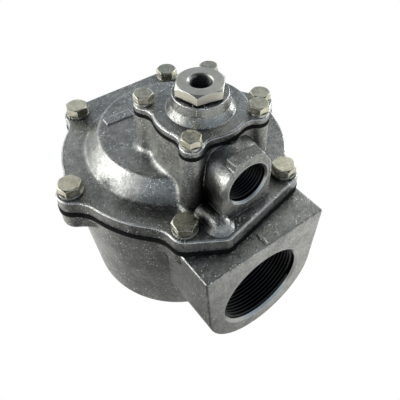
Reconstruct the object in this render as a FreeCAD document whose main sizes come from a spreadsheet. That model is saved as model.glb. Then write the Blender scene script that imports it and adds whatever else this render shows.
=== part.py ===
import FreeCAD, Part
import Sketcher
import math
import os
import re

# Right-angle two-stage pulse valve, in millimetres, +Z up.
# The origin is the centre of the outlet port's face, at the bottom.
# +Z is the valve axis and the inlet port faces +X.

SIZES = {
    # Joint between body and bonnet
    "face_height": 92.6,
    "flange_radius": 70.8,
    "bolt_circle": 72.0,
    "lobe_radius": 9.0,
    "lobe_blend": 20.0,
    "corner_x": 75.6,
    "corner_y": -19.5,
    "corner_radius": 6.5,
    "rubber_thickness": 3.0,
    "rim_thickness": 3.5,
    "rim_bulge": 0.5,
    "flange_thickness": 8.4,
    # Body
    "bowl_top_radius": 69.8,
    "lug_waist": 67.5,
    "bowl_foot_radius": 62.0,
    "bowl_foot_height": 8.0,
    "bowl_foot_round": 6.0,
    "bowl_bore_gap": 1.5,
    "bowl_bore_foot": 56.0,
    "bowl_floor": 7.0,
    "lug_depth": 11.5,
    "lug_blend": 30.0,
    "lug_edge_round": 3.0,
    "lug_seam_round": 3.0,
    "outlet_boss_radius": 39.0,
    "tube_wall": 5.5,
    "tube_bore": 27.0,
    "seat_drop": 9.6,
    # Inlet boss and the two large threaded ports
    "inlet_face": 91.5,
    "block_shoulder": 2.2,
    "block_half_width": 43.5,
    "block_round_radius": 41.0,
    "block_step": 0.4,
    "block_edge_round": 1.2,
    "arrow_tail": 90.2,
    "arrow_tip": 81.6,
    "arrow_y": -0.3,
    "arrow_head_length": 5.0,
    "arrow_head_half_width": 1.6,
    "arrow_shaft_half_width": 0.8,
    "arrow_rise": 0.7,
    "port_thread_radius": 28.33,
    "port_mouth_radius": 30.3,
    "port_thread_depth": 26.0,
    "passage_radius": 32.0,
    "passage_start_gap": 8.0,
    # Bonnet dome
    "dome_foot_radius": 56.0,
    "dome_rim_radius": 46.0,
    "dome_rise": 14.0,
    "dome_wall": 6.0,
    "dome_rim_round": 2.5,
    "dome_foot_round": 4.0,
    "flange_edge_bevel": 0.7,
    "label_pad_x": -29.9,
    "label_pad_y": -32.5,
    "label_pad_width": 6.3,
    "label_pad_length": 18.0,
    "label_pad_rise": 0.7,
    "chamber_radius": 57.0,
    "chamber_skirt": 2.0,
    # Pilot tower, off the main axis
    "pilot_offset": 28.9,
    "pilot_bolt_circle": 31.2,
    "pilot_lobe_circle": 30.5,
    "tower_radius": 26.7,
    "tower_lobe_radius": 6.5,
    "tower_lobe_blend": 9.0,
    "tower_rise": 39.4,
    "tower_draft": 1.8,
    "tower_foot_round": 4.0,
    "tower_pocket_radius": 21.5,
    "pilot_seat_radius": 13.0,
    "pilot_seat_bore": 9.0,
    "pilot_seat_drop": 4.5,
    "pilot_ring_depth": 2.8,
    "transfer_radius": 3.2,
    # Exhaust boss and port
    "exhaust_face": 71.25,
        "barrel_radius": 17.8,
    "barrel_top_gap": 1.5,
    "barrel_flare_spread": 3.0,
    "barrel_flare_length": 11.0,
    "barrel_end_inset": 2.0,
    "flare_setback": 2.0,
    "flare_top_gap": 0.2,
    "collar_depth": 6.8,
    "collar_edge_round": 0.8,
    "collar_foot_right": 17.0,
    "collar_side_right": 13.7,
    "collar_side_top": 10.5,
    "collar_side_draft": 0.9,
    "pad_corner_across": 2.4,
    "pad_corner_drop": 2.9,
    "pad_left": 10.3,
    "pad_right": 8.2,
    "pad_top": 19.2,
    "exhaust_thread_radius": 12.06,
    "exhaust_mouth_radius": 13.45,
    "exhaust_thread_depth": 18.0,
    # Bleed passage, between the bolt lobe and the exhaust boss
    "bleed_x": 71.5,
    "bleed_y": -19.5,
    "bleed_rib_half_width": 8.0,
    "bleed_rib_rise": 7.0,
    "bleed_hole_radius": 2.0,
    "bleed_cross_rise": 1.5,
    "bleed_rib_root": 10.0,
    # Pilot cover
    "pilot_rubber_thickness": 2.0,
    "pilot_rim_thickness": 2.3,
    "pilot_rim_bulge": 0.3,
    "cover_thickness": 3.9,
    "cover_edge_bevel": 0.8,
    "cover_boss_foot": 18.8,
    "cover_boss_radius": 15.4,
    "cover_boss_rise": 10.0,
    "cover_flare_rise": 4.4,
    "cover_boss_draft": 1.0,
    "cover_cavity_depth": 1.4,
    "cover_cavity_margin": 1.0,
    "cover_cavity_slope": 1.6,
    "spring_pocket_radius": 12.0,
    "cover_boss_top_wall": 5.6,
    # Pilot fitting and its seal
    "fitting_flats": 25.0,
    "fitting_height": 5.5,
    "fitting_stem_radius": 8.33,
    "fitting_thread_radius": 5.72,
    "fitting_mouth_radius": 7.0,
    "fitting_seal_thickness": 1.0,
    "fitting_seal_radius": 12.2,
    # Screw sizes, M8 and M6
    "main_bolt_radius": 4.0,
    "main_bolt_flats": 13.0,
    "main_bolt_head": 5.3,
    "main_bolt_length": 25.0,
    "main_washer_radius": 7.4,
    "main_washer_thickness": 2.0,
    "pilot_bolt_radius": 3.0,
    "pilot_bolt_flats": 10.0,
    "pilot_bolt_head": 4.0,
    "pilot_bolt_length": 16.0,
    "pilot_washer_radius": 5.7,
    "pilot_washer_thickness": 1.6,
    "washer_slit": 0.8,
    "spot_face_gap": 0.6,
    "bolt_hole_extra": 5.0,
    "thread_clearance": 0.05,
    "hole_clearance": 0.5,
    # How far a cutting tool or a joined form runs past the face that it meets
    "overrun": 1.0,
    # Main diaphragm centre
    "web_foot_margin": 2.0,
    "web_top_margin": 0.5,
    "web_centre_step": 1.5,
    "main_centre_radius": 38.0,
    "main_top_plate_radius": 35.0,
    "main_top_plate_thickness": 2.5,
    "main_seat_plate_radius": 24.0,
    "main_seat_plate_thickness": 2.5,
    "main_nut_height": 6.5,
    "main_screw_end": 1.5,
    "plate_clearance": 0.3,
    "main_spring_radius": 14.0,
    "main_spring_wire": 1.1,
    "spring_end_gap": 0.02,
    # Pilot diaphragm centre
    "pilot_web_foot_margin": 2.0,
    "pilot_web_top_margin": 1.0,
    "pilot_web_centre_step": 1.0,
    "pilot_centre_radius": 14.2,
    "pilot_plate_radius": 11.5,
    "pilot_plate_thickness": 1.5,
    "pilot_back_radius": 8.3,
    "pilot_back_thickness": 1.0,
    "rivet_radius": 2.0,
    "rivet_head_radius": 4.0,
    "rivet_head_height": 1.2,
    "pilot_spring_radius": 9.8,
    "pilot_spring_wire": 0.6,
}

MAIN_BOLTS = 6
PILOT_BOLTS = 4
FIRST_MAIN_BOLT_ANGLE = -30.0
FIRST_PILOT_BOLT_ANGLE = -45.0
SPRING_WASHER_SLIT_TURN = 25.0
WASHER_TURN_STEP = 7
CHAMFER_SLOPE = 0.75
BOLT_POINT_SHARE = 0.2
BOLT_TOP_SHARE = 0.475
LABEL_PAD_TURN = -3.5
SEAM_TOLERANCE = 0.003
SPRING_HALF_TURNS = 9
STRAIGHT_GAPS = (0, 1, 4)
LOBE_DRAFT_SHARE = 0.4
COLLAR_ARC_TURNS = (75.0, 60.0, 47.0, 35.0)
RIB_CROWN_SHARE = 0.81
RIB_FOOT_SHARPNESS = 8
RIB_STEP = 15
TRANSFER_ANGLES = (150.0, 180.0, 210.0)
FITTING_TURN = -43.0
MAIN_HEAD_TURNS = (57.0, 38.0, 48.0, 55.0, 38.0, 19.0)
PILOT_HEAD_TURNS = (17.0, 26.0, 31.0, 58.0)

# Levels that several pieces share, as sums of sizes
BONNET_FOOT = "face_height + rim_thickness"
FLANGE_TOP = BONNET_FOOT + " + flange_thickness"
DOME_TOP = FLANGE_TOP + " + dome_rise"
CEILING = DOME_TOP + " - dome_wall"
TOWER_TOP = FLANGE_TOP + " + tower_rise"
COVER_FOOT = TOWER_TOP + " + pilot_rim_thickness"
COVER_TOP = COVER_FOOT + " + cover_thickness"
BOSS_TOP = COVER_TOP + " + cover_boss_rise"
FITTING_FOOT = BOSS_TOP + " + fitting_seal_thickness"
FITTING_TOP = FITTING_FOOT + " + fitting_height"
SPRING_SHELF = BOSS_TOP + " - cover_boss_top_wall"
SEAT_TOP = "face_height - seat_drop"
PILOT_SEAT_TOP = TOWER_TOP + " - pilot_seat_drop"
EXHAUST_AXIS = TOWER_TOP + " - barrel_top_gap - barrel_radius"
BLOCK_TOP = "face_height - block_step"
INLET_AXIS = BLOCK_TOP + " - block_shoulder - block_round_radius"

doc = FreeCAD.newDocument("pulse_valve")
sheet = doc.addObject("Spreadsheet::Sheet", "Sizes")
for row, (alias, value) in enumerate(SIZES.items(), start=1):
    sheet.set(f"A{row}", alias)
    sheet.set(f"B{row}", str(value))
    sheet.setAlias(f"B{row}", alias)
doc.recompute()

pieces = {}


def linked(text):
    """Points every size name in an expression at the sheet."""
    return re.sub(r"\b[a-z]\w*\b(?!\()", lambda name: "Sizes." + name.group(0), text)


def size(text):
    """The value of an expression made of size names."""
    result = sheet.evalExpression(re.sub(r"\b[a-z]\w*\b(?!\()", lambda name: "." + name.group(0), text))
    return float(getattr(result, "Value", result))


def finish(name, thing):
    """Names a finished piece, which is written to its own file."""
    thing.Label = name
    pieces[name] = thing
    return thing


def origin_plane(body, role):
    return next(plane for plane in body.Origin.OriginFeatures if plane.Role == role)


def new_sketch(body, name, role, offset="0"):
    """An empty sketch on one of the body's origin planes, moved along its normal."""
    sketch = body.newObject("Sketcher::SketchObject", name)
    sketch.AttachmentSupport = [(origin_plane(body, role), "")]
    sketch.MapMode = "FlatFace"
    if offset != "0":
        sketch.setExpression("AttachmentOffset.Base.z", linked(offset))
    return sketch


def pin_point(sketch, edge, end, across, up):
    """Ties one end of an edge to two size expressions, from the sketch's origin."""
    for kind, axis, text in (("DistanceX", -2, across), ("DistanceY", -1, up)):
        if text == "0":
            sketch.addConstraint(Sketcher.Constraint("PointOnObject", edge, end, axis))
            continue
        index = sketch.addConstraint(Sketcher.Constraint(kind, -1, 1, edge, end, size(text)))
        sketch.setExpression(f"Constraints[{index}]", linked(text))


def polygon_sketch(body, name, role, corners, offset="0"):
    """A closed outline of straight edges whose corners are size expressions."""
    sketch = new_sketch(body, name, role, offset)
    spots = [FreeCAD.Vector(size(across), size(up), 0) for across, up in corners]
    count = len(spots)
    edges = [Part.LineSegment(spots[i], spots[(i + 1) % count]) for i in range(count)]
    sketch.addGeometry(edges, False)
    for i in range(count):
        sketch.addConstraint(Sketcher.Constraint("Coincident", i, 2, (i + 1) % count, 1))
    for i, (across, up) in enumerate(corners):
        pin_point(sketch, i, 1, across, up)
    return sketch


def turned(name, corners, at_pilot=False):
    """A body of revolution about its own Z axis, from (radius, height) corners."""
    body = doc.addObject("PartDesign::Body", name)
    profile = polygon_sketch(body, name + "_profile", "XZ_Plane", corners)
    profile.Visibility = False
    turn = body.newObject("PartDesign::Revolution", name + "_turn")
    turn.Profile = profile
    turn.ReferenceAxis = (profile, ["V_Axis"])
    turn.Angle = 360
    if at_pilot:
        body.setExpression("Placement.Base.x", linked("pilot_offset"))
    doc.recompute()
    return body


def rod(name, radius, foot, top, x="0", y="0"):
    """An upright cylinder between two heights."""
    thing = doc.addObject("Part::Cylinder", name)
    thing.setExpression("Radius", linked(radius))
    thing.setExpression("Height", linked(f"({top}) - ({foot})"))
    for axis, text in (("x", x), ("y", y), ("z", foot)):
        if text != "0":
            thing.setExpression(f"Placement.Base.{axis}", linked(text))
    return thing


def rod_along_x(name, radius, start, end, y, z):
    """A level cylinder along X."""
    thing = doc.addObject("Part::Cylinder", name)
    thing.Placement.Rotation = FreeCAD.Rotation(FreeCAD.Vector(0, 1, 0), 90)
    thing.setExpression("Radius", linked(radius))
    thing.setExpression("Height", linked(f"({end}) - ({start})"))
    for axis, text in (("x", start), ("y", y), ("z", z)):
        if text != "0":
            thing.setExpression(f"Placement.Base.{axis}", linked(text))
    return thing


def mouth_along_x(name, inner, outer, face, y, z):
    """The cone that chamfers the mouth of a port that faces +X."""
    thing = doc.addObject("Part::Cone", name)
    depth = f"(({outer}) - ({inner}))"
    thing.Placement.Rotation = FreeCAD.Rotation(FreeCAD.Vector(0, 1, 0), 90)
    thing.setExpression("Radius1", linked(inner))
    thing.setExpression("Radius2", linked(outer))
    thing.setExpression("Height", linked(depth))
    for axis, text in (("x", f"{face} - {depth}"), ("y", y), ("z", z)):
        if text != "0":
            thing.setExpression(f"Placement.Base.{axis}", linked(text))
    return thing


def fused(name, things):
    joined = doc.addObject("Part::MultiFuse", name)
    joined.Shapes = things
    joined.Refine = True
    doc.recompute()
    return joined


def cut(name, base, tools):
    """Takes the tools out of the base."""
    tool = tools[0] if len(tools) == 1 else fused(name + "_tools", tools)
    result = doc.addObject("Part::Cut", name)
    result.Base = base
    result.Tool = tool
    doc.recompute()
    return result


def common(name, first, second):
    result = doc.addObject("Part::MultiCommon", name)
    result.Shapes = [first, second]
    doc.recompute()
    return result


def rounded(name, base, radius, wanted):
    """Rounds the edges of base that the test picks."""
    result = doc.addObject("Part::Fillet", name)
    result.Base = base
    amount = size(radius)
    edges = base.Shape.Edges
    result.Edges = [(i, amount, amount) for i, edge in enumerate(edges, start=1) if wanted(edge)]
    doc.recompute()
    return result


def blended(name, first, second, radius):
    """Fuses two pieces and rounds the seam where their outsides meet."""
    both = fused(name + "_sharp", [first, second])
    skins = (first.Shape.Shells[0], second.Shape.Shells[0])
    room = second.Shape.BoundBox
    room.enlarge(0.05)

    def on_seam(edge):
        length = edge.LastParameter - edge.FirstParameter
        for share in (0.1, 0.5, 0.9):
            spot = edge.valueAt(edge.FirstParameter + length * share)
            if not room.isInside(spot):
                return False
            if any(Part.Vertex(spot).distToShape(skin)[0] > SEAM_TOLERANCE for skin in skins):
                return False
        return True

    return rounded(name, both, radius, on_seam)


def level_edge(height, tolerance=0.01):
    """Tests that an edge lies at one height."""
    return lambda edge: abs(edge.BoundBox.ZMin - height) < tolerance and edge.BoundBox.ZLength < tolerance


def level_circle(height, radius):
    """Tests that an edge is a level circle of one radius about the valve's axis."""
    def test(edge):
        curve = edge.Curve
        if not isinstance(curve, Part.Circle):
            return False
        near_axis = math.hypot(curve.Center.x, curve.Center.y) < 0.01
        return near_axis and abs(curve.Center.z - height) < 0.01 and abs(curve.Radius - radius) < 0.01
    return test


def ring_places(count, first_angle, radius, centre_x=0.0):
    """Places evenly spaced on a circle, anticlockwise."""
    places = []
    for i in range(count):
        angle = math.radians(first_angle + i * 360.0 / count)
        places.append((centre_x + radius * math.cos(angle), radius * math.sin(angle)))
    return places


def unit(vector):
    return FreeCAD.Vector(vector).normalize()


def arc_between(centre, start, end):
    """The shorter arc about a centre."""
    middle = centre + unit((start - centre) + (end - centre)) * (start - centre).Length
    return Part.Arc(start, middle, end).toShape()


def lobed_wire(waist, lobes, straight_gaps, blend):
    """A closed outline round a waist circle with lobes on it, in anticlockwise order.

    lobes are (x, y, radius). A gap runs along the waist with a blend at each end, or
    in a straight line where its number is in straight_gaps.
    """
    count = len(lobes)
    centres = [FreeCAD.Vector(x, y, 0) for x, y, radius in lobes]
    middle = FreeCAD.Vector(0, 0, 0)
    leaving, entering, gaps = [None] * count, [None] * count, [None] * count
    for i in range(count):
        j = (i + 1) % count
        first, second = centres[i], centres[j]
        if i in straight_gaps:
            along = second - first
            lean = math.acos((lobes[i][2] - lobes[j][2]) / along.Length)
            bearing = math.atan2(along.y, along.x) - lean
            outward = FreeCAD.Vector(math.cos(bearing), math.sin(bearing), 0)
            leaving[i] = first + outward * lobes[i][2]
            entering[j] = second + outward * lobes[j][2]
            gaps[i] = [Part.LineSegment(leaving[i], entering[j]).toShape()]
            continue
        blends = []
        for centre, radius, side in ((first, lobes[i][2], 1), (second, lobes[j][2], -1)):
            reach = centre.Length
            far = waist + blend
            near = radius + blend
            swing = math.acos((far ** 2 + reach ** 2 - near ** 2) / (2 * far * reach))
            bearing = math.atan2(centre.y, centre.x) + side * swing
            hub = FreeCAD.Vector(math.cos(bearing), math.sin(bearing), 0) * far
            on_lobe = centre + unit(hub - centre) * radius
            on_waist = unit(hub) * waist
            blends.append((hub, on_lobe, on_waist))
        (hub_a, leave, waist_a), (hub_b, enter, waist_b) = blends
        leaving[i], entering[j] = leave, enter
        gaps[i] = [
            arc_between(hub_a, leave, waist_a),
            arc_between(middle, waist_a, waist_b),
            arc_between(hub_b, waist_b, enter),
        ]
    edges = []
    for i in range(count):
        tip = (entering[i] - centres[i]) + (leaving[i] - centres[i])
        outward = unit(tip) if tip.dot(centres[i]) > 0 else unit(tip) * -1
        edges.append(Part.Arc(entering[i], centres[i] + outward * lobes[i][2], leaving[i]).toShape())
        edges.extend(gaps[i])
    return Part.Wire(edges)


def outline_object(name, wire):
    """Keeps an outline as a flat face that extrusions use."""
    thing = doc.addObject("Part::Feature", name)
    thing.Shape = Part.Face(wire)
    return thing


def plate(name, outline, foot, thickness, x="0"):
    """An outline given a thickness above a height."""
    thing = doc.addObject("Part::Extrusion", name)
    thing.Base = outline
    thing.DirMode = "Custom"
    thing.Dir = FreeCAD.Vector(0, 0, 1)
    thing.Solid = True
    thing.setExpression("LengthFwd", linked(thickness))
    thing.setExpression("Placement.Base.z", linked(foot))
    if x != "0":
        thing.setExpression("Placement.Base.x", linked(x))
    doc.recompute()
    return thing


def main_wire(growth, waist="flange_radius", blend="lobe_blend"):
    """The outline that bonnet flange, rubber rim and body lugs share, grown by a draft.

    Six bolt lobes and the corner over the bleed passage. It runs straight from the first
    lobe to the corner, on to the second lobe, and across the back from the fourth to the fifth.
    """
    radius = size("lobe_radius") + growth
    places = ring_places(MAIN_BOLTS, FIRST_MAIN_BOLT_ANGLE, size("bolt_circle"))
    lobes = [(x, y, radius) for x, y in places]
    corner = (size("corner_x"), size("corner_y"), size("corner_radius") + growth)
    return lobed_wire(size(waist) + growth, [lobes[0], corner] + lobes[1:], STRAIGHT_GAPS, size(blend))


def tower_wire(growth, lobe_share=1.0):
    """The four-lobed outline of tower and cover, grown by a draft, of which the lobes take a share."""
    places = ring_places(PILOT_BOLTS, FIRST_PILOT_BOLT_ANGLE, size("pilot_lobe_circle"))
    lobes = [(x, y, size("tower_lobe_radius") + growth * lobe_share) for x, y in places]
    return lobed_wire(size("tower_radius") + growth, lobes, (), size("tower_lobe_blend"))


def tower_foot_wire(growth):
    """The tower's outline, whose lobes hardly widen towards the foot."""
    return tower_wire(growth, LOBE_DRAFT_SHARE)


def drafted(name, wire_at, foot_growth, top_growth, foot, top, x="0"):
    """An outline between two heights, grown by a draft at each end."""
    sections = []
    for part, growth, height in (("foot", foot_growth, foot), ("top", top_growth, top)):
        outline = doc.addObject("Part::Feature", f"{name}_{part}_outline")
        outline.Shape = wire_at(growth)
        outline.Placement.Base = FreeCAD.Vector(size(x) if x != "0" else 0, 0, size(height))
        sections.append(outline)
    loft = doc.addObject("Part::Loft", name)
    loft.Sections = sections
    loft.Solid = True
    loft.Ruled = True
    doc.recompute()
    return loft


def main_bolt_holes(name, radius, foot, top):
    """One upright hole at each main bolt."""
    holes = []
    angles = ring_places(MAIN_BOLTS, FIRST_MAIN_BOLT_ANGLE, 1.0)
    for number, (x, y) in enumerate(angles, start=1):
        across, along = f"bolt_circle * {x:.9f}", f"bolt_circle * {y:.9f}"
        holes.append(rod(f"{name}_{number}", radius, foot, top, across, along))
    return holes


def pilot_bolt_holes(name, radius, foot, top):
    """One upright hole at each pilot bolt."""
    holes = []
    angles = ring_places(PILOT_BOLTS, FIRST_PILOT_BOLT_ANGLE, 1.0)
    for number, (x, y) in enumerate(angles, start=1):
        across = f"pilot_offset + pilot_bolt_circle * {x:.9f}"
        holes.append(rod(f"{name}_{number}", radius, foot, top, across, f"pilot_bolt_circle * {y:.9f}"))
    return holes


def build_valve_body():
    """Cast body: tapered bowl, bolt lugs, inlet boss, outlet boss and seat tube."""
    bowl = turned("bowl", [
        ("0", "bowl_foot_height"),
        ("bowl_foot_radius", "bowl_foot_height"),
        ("bowl_top_radius", "face_height"),
        ("0", "face_height"),
    ])
    foot = size("bowl_foot_height")
    bowl = rounded("bowl_rounded", bowl, "bowl_foot_round", level_edge(foot))
    lug_outline = outline_object("lug_outline", main_wire(0.0, "lug_waist", "lug_blend"))
    lugs = plate("lugs", lug_outline, "face_height - lug_depth", "lug_depth")
    lug_foot = size("face_height - lug_depth")
    lugs = rounded("lugs_rounded", lugs, "lug_edge_round", level_edge(lug_foot))

    # The inlet boss is square above the port's axis and round below it.
    block = doc.addObject("PartDesign::Body", "inlet_block")
    sides = polygon_sketch(block, "block_sides", "YZ_Plane", [
        ("-block_half_width", BLOCK_TOP),
        ("-block_round_radius", INLET_AXIS),
        ("block_round_radius", INLET_AXIS),
        ("block_half_width", BLOCK_TOP),
    ])
    side_pad = block.newObject("PartDesign::Pad", "block_pad")
    side_pad.Profile = sides
    side_pad.setExpression("Length", linked("inlet_face"))
    doc.recompute()
    under = rod_along_x("block_round", "block_round_radius", "0", "inlet_face", "0", INLET_AXIS)
    block = fused("block_fused", [block, under])
    face = size("inlet_face")
    block = rounded("block_rounded", block, "block_edge_round", lambda edge: (
        edge.BoundBox.XMin > face - 0.01
        or edge.BoundBox.XLength > face - 0.01 and edge.BoundBox.ZMax > size(BLOCK_TOP) - 0.01
    ))
    boss = rod("outlet_boss", "outlet_boss_radius", "0", "bowl_foot_height + bowl_floor")
    arrow = doc.addObject("PartDesign::Body", "flow_arrow")
    arrow_shape = polygon_sketch(arrow, "arrow_outline", "XY_Plane", [
        ("arrow_tip", "arrow_y"),
        ("arrow_tip + arrow_head_length", "arrow_y + arrow_head_half_width"),
        ("arrow_tip + arrow_head_length", "arrow_y + arrow_shaft_half_width"),
        ("arrow_tail", "arrow_y + arrow_shaft_half_width"),
        ("arrow_tail", "arrow_y - arrow_shaft_half_width"),
        ("arrow_tip + arrow_head_length", "arrow_y - arrow_shaft_half_width"),
        ("arrow_tip + arrow_head_length", "arrow_y - arrow_head_half_width"),
    ], BLOCK_TOP + " - overrun")
    arrow_pad = arrow.newObject("PartDesign::Pad", "arrow_pad")
    arrow_pad.Profile = arrow_shape
    arrow_pad.setExpression("Length", linked("arrow_rise + overrun"))
    doc.recompute()
    bowl = blended("bowl_with_lugs", bowl, lugs, "lug_seam_round")
    outside = fused("body_outside", [bowl, block, boss, arrow])

    # Annular chamber round the seat tube, open at the top.
    floor = "bowl_foot_height + bowl_floor"
    tube_outside = "tube_bore + tube_wall"
    chamber = turned("body_chamber", [
        ("0", SEAT_TOP),
        (tube_outside, SEAT_TOP),
        (tube_outside, floor),
        ("bowl_bore_foot", floor),
        ("chamber_radius + bowl_bore_gap", "face_height + overrun"),
        ("0", "face_height + overrun"),
    ])
    thread_top = "port_thread_depth"
    bore = turned("outlet_bore", [
        ("0", "-overrun"),
        ("port_thread_radius", "-overrun"),
        ("port_thread_radius", thread_top),
        ("tube_bore", thread_top),
        ("tube_bore", SEAT_TOP + " + overrun"),
        ("0", SEAT_TOP + " + overrun"),
    ])
    thread = rod_along_x(
        "inlet_thread", "port_thread_radius", "inlet_face - port_thread_depth",
        "inlet_face + overrun", "0", INLET_AXIS)
    mouth = mouth_along_x(
        "inlet_mouth", "port_thread_radius", "port_mouth_radius", "inlet_face", "0", INLET_AXIS)
    passage = rod_along_x(
        "inlet_passage", "passage_radius", "tube_bore + tube_wall + passage_start_gap",
        "inlet_face - port_thread_depth", "0", INLET_AXIS)
    bleed = rod("body_bleed", "bleed_hole_radius", INLET_AXIS, "face_height + overrun", "bleed_x", "bleed_y")
    holes = main_bolt_holes(
        "body_bolt_hole", "main_bolt_radius + thread_clearance",
        "face_height - lug_depth - bolt_hole_extra", "face_height + overrun")
    body = cut("body_cut", outside, [chamber, bore, thread, mouth, passage, bleed] + holes)
    finish("valve_body", body)


def build_bonnet():
    """Cast bonnet: flange, dome, pilot tower, exhaust boss and bleed rib."""
    bevel_foot = FLANGE_TOP + " - flange_edge_bevel"
    outline = outline_object("main_outline", main_wire(0.0))
    flange = plate("bonnet_flange", outline, BONNET_FOOT, "flange_thickness - flange_edge_bevel")
    bevel = drafted("flange_bevel", main_wire, 0.0, -size("flange_edge_bevel"), bevel_foot, FLANGE_TOP)
    dome = turned("dome", [
        ("0", BONNET_FOOT),
        ("dome_foot_radius", BONNET_FOOT),
        ("dome_foot_radius", FLANGE_TOP),
        ("dome_rim_radius", DOME_TOP),
        ("0", DOME_TOP),
    ])
    dome = fused("domed_flange", [flange, bevel, dome])
    dome = rounded("dome_rim_rounded", dome, "dome_rim_round", level_edge(size(DOME_TOP)))
    foot_round = level_circle(size(FLANGE_TOP), size("dome_foot_radius"))
    dome = rounded("dome_foot_rounded", dome, "dome_foot_round", foot_round)

    tower = drafted("tower", tower_foot_wire, size("tower_draft"), 0.0, FLANGE_TOP, TOWER_TOP, "pilot_offset")
    dome = blended("dome_with_tower", dome, tower, "tower_foot_round")

    barrel_end = "exhaust_face - barrel_end_inset"
    barrel = rod_along_x("barrel", "barrel_radius", "pilot_offset", barrel_end, "0", EXHAUST_AXIS)
    web = doc.addObject("Part::Box", "barrel_web")
    web.setExpression("Length", linked(barrel_end + " - pilot_offset"))
    web.setExpression("Width", linked("2 * barrel_radius"))
    web.setExpression("Height", linked(f"({EXHAUST_AXIS}) - ({FLANGE_TOP})"))
    web.setExpression("Placement.Base.x", linked("pilot_offset"))
    web.setExpression("Placement.Base.y", linked("-barrel_radius"))
    web.setExpression("Placement.Base.z", linked(FLANGE_TOP))

    # The front is round on the left, drafted on the right, with a flat pad on top.
    collar = doc.addObject("PartDesign::Body", "collar")
    arc = [(-math.sin(math.radians(turn)), math.cos(math.radians(turn))) for turn in COLLAR_ARC_TURNS]
    left = [(f"barrel_radius * {y:.9f}", EXHAUST_AXIS + f" + barrel_radius * {z:.9f}") for y, z in arc]
    shape = polygon_sketch(collar, "collar_outline", "YZ_Plane", [
        ("-barrel_radius", FLANGE_TOP),
        ("collar_foot_right", FLANGE_TOP),
        ("collar_side_right", EXHAUST_AXIS + " + collar_side_top / 2"),
        ("collar_side_right - collar_side_draft", EXHAUST_AXIS + " + collar_side_top"),
        ("pad_right + pad_corner_across", EXHAUST_AXIS + " + pad_top - pad_corner_drop"),
        ("pad_right", EXHAUST_AXIS + " + pad_top"),
        ("-pad_left", EXHAUST_AXIS + " + pad_top"),
    ] + left[::-1] + [
        ("-barrel_radius", EXHAUST_AXIS),
    ], "exhaust_face - collar_depth")
    collar_pad = collar.newObject("PartDesign::Pad", "collar_pad")
    collar_pad.Profile = shape
    collar_pad.setExpression("Length", linked("collar_depth"))
    doc.recompute()
    face = size("exhaust_face")
    collar = rounded("collar_rounded", collar, "collar_edge_round", lambda edge: (
        edge.BoundBox.XMin > face - 0.01 and edge.BoundBox.ZMax > size(FLANGE_TOP) + 0.01
    ))

    # The barrel widens where it joins the tower, below the rubber rim's face.
    flare = doc.addObject("Part::Cone", "barrel_flare")
    flare.Placement.Rotation = FreeCAD.Rotation(FreeCAD.Vector(0, 1, 0), 90)
    flare.setExpression("Radius1", linked("barrel_radius + barrel_flare_spread"))
    flare.setExpression("Radius2", linked("barrel_radius"))
    flare.setExpression("Height", linked("barrel_flare_length"))
    flare_start = "exhaust_face - collar_depth - barrel_flare_length - flare_setback"
    flare.setExpression("Placement.Base.x", linked(flare_start))
    flare.setExpression("Placement.Base.z", linked(EXHAUST_AXIS))
    flare_room = doc.addObject("Part::Box", "flare_room")
    flare_room.setExpression("Length", linked("exhaust_face"))
    flare_room.setExpression("Width", linked("2 * bolt_circle"))
    flare_room.setExpression("Height", linked("tower_rise - flare_top_gap"))
    flare_room.setExpression("Placement.Base.y", linked("-bolt_circle"))
    flare_room.setExpression("Placement.Base.z", linked(FLANGE_TOP))
    doc.recompute()
    flare = common("flare_trimmed", flare, flare_room)

    # A bell-shaped ridge over the bleed passage: a round crown on a flared foot, with a round end.
    half = [("bleed_rib_half_width", FLANGE_TOP + " - overrun")]
    for turn in range(0, 90, RIB_STEP):
        up = math.sin(math.radians(turn))
        crown = RIB_CROWN_SHARE * math.cos(math.radians(turn))
        across = crown + (1 - RIB_CROWN_SHARE) * (1 - up) ** RIB_FOOT_SHARPNESS
        half.append((f"bleed_rib_half_width * {across:.9f}", FLANGE_TOP + f" + bleed_rib_rise * {up:.9f}"))
    rib_top = FLANGE_TOP + " + bleed_rib_rise"
    knob = turned("bleed_knob", half + [("0", rib_top), ("0", FLANGE_TOP + " - overrun")])
    knob.setExpression("Placement.Base.x", linked("bleed_x"))
    knob.setExpression("Placement.Base.y", linked("bleed_y"))
    rib = doc.addObject("PartDesign::Body", "bleed_rib")
    left = [(f"bleed_y - {across}", up) for across, up in half]
    right = [(f"bleed_y + {across}", up) for across, up in half]
    outline = right + [("bleed_y", rib_top)] + left[::-1]
    shape = polygon_sketch(rib, "rib_outline", "YZ_Plane", outline, "pilot_offset + bleed_rib_root")
    rib_pad = rib.newObject("PartDesign::Pad", "rib_pad")
    rib_pad.Profile = shape
    rib_pad.setExpression("Length", linked("bleed_x - pilot_offset - bleed_rib_root"))
    doc.recompute()

    label_pad = doc.addObject("Part::Box", "label_pad")
    label_pad.Placement.Rotation = FreeCAD.Rotation(FreeCAD.Vector(0, 0, 1), LABEL_PAD_TURN)
    label_pad.setExpression("Length", linked("label_pad_width"))
    label_pad.setExpression("Width", linked("label_pad_length"))
    label_pad.setExpression("Height", linked("label_pad_rise + overrun"))
    label_pad.setExpression("Placement.Base.x", linked("label_pad_x"))
    label_pad.setExpression("Placement.Base.y", linked("label_pad_y"))
    label_pad.setExpression("Placement.Base.z", linked(DOME_TOP + " - overrun"))
    boss = fused("exhaust_boss", [barrel, web, collar])
    outside = fused("bonnet_outside", [dome, boss, flare, rib, knob, label_pad])

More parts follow.
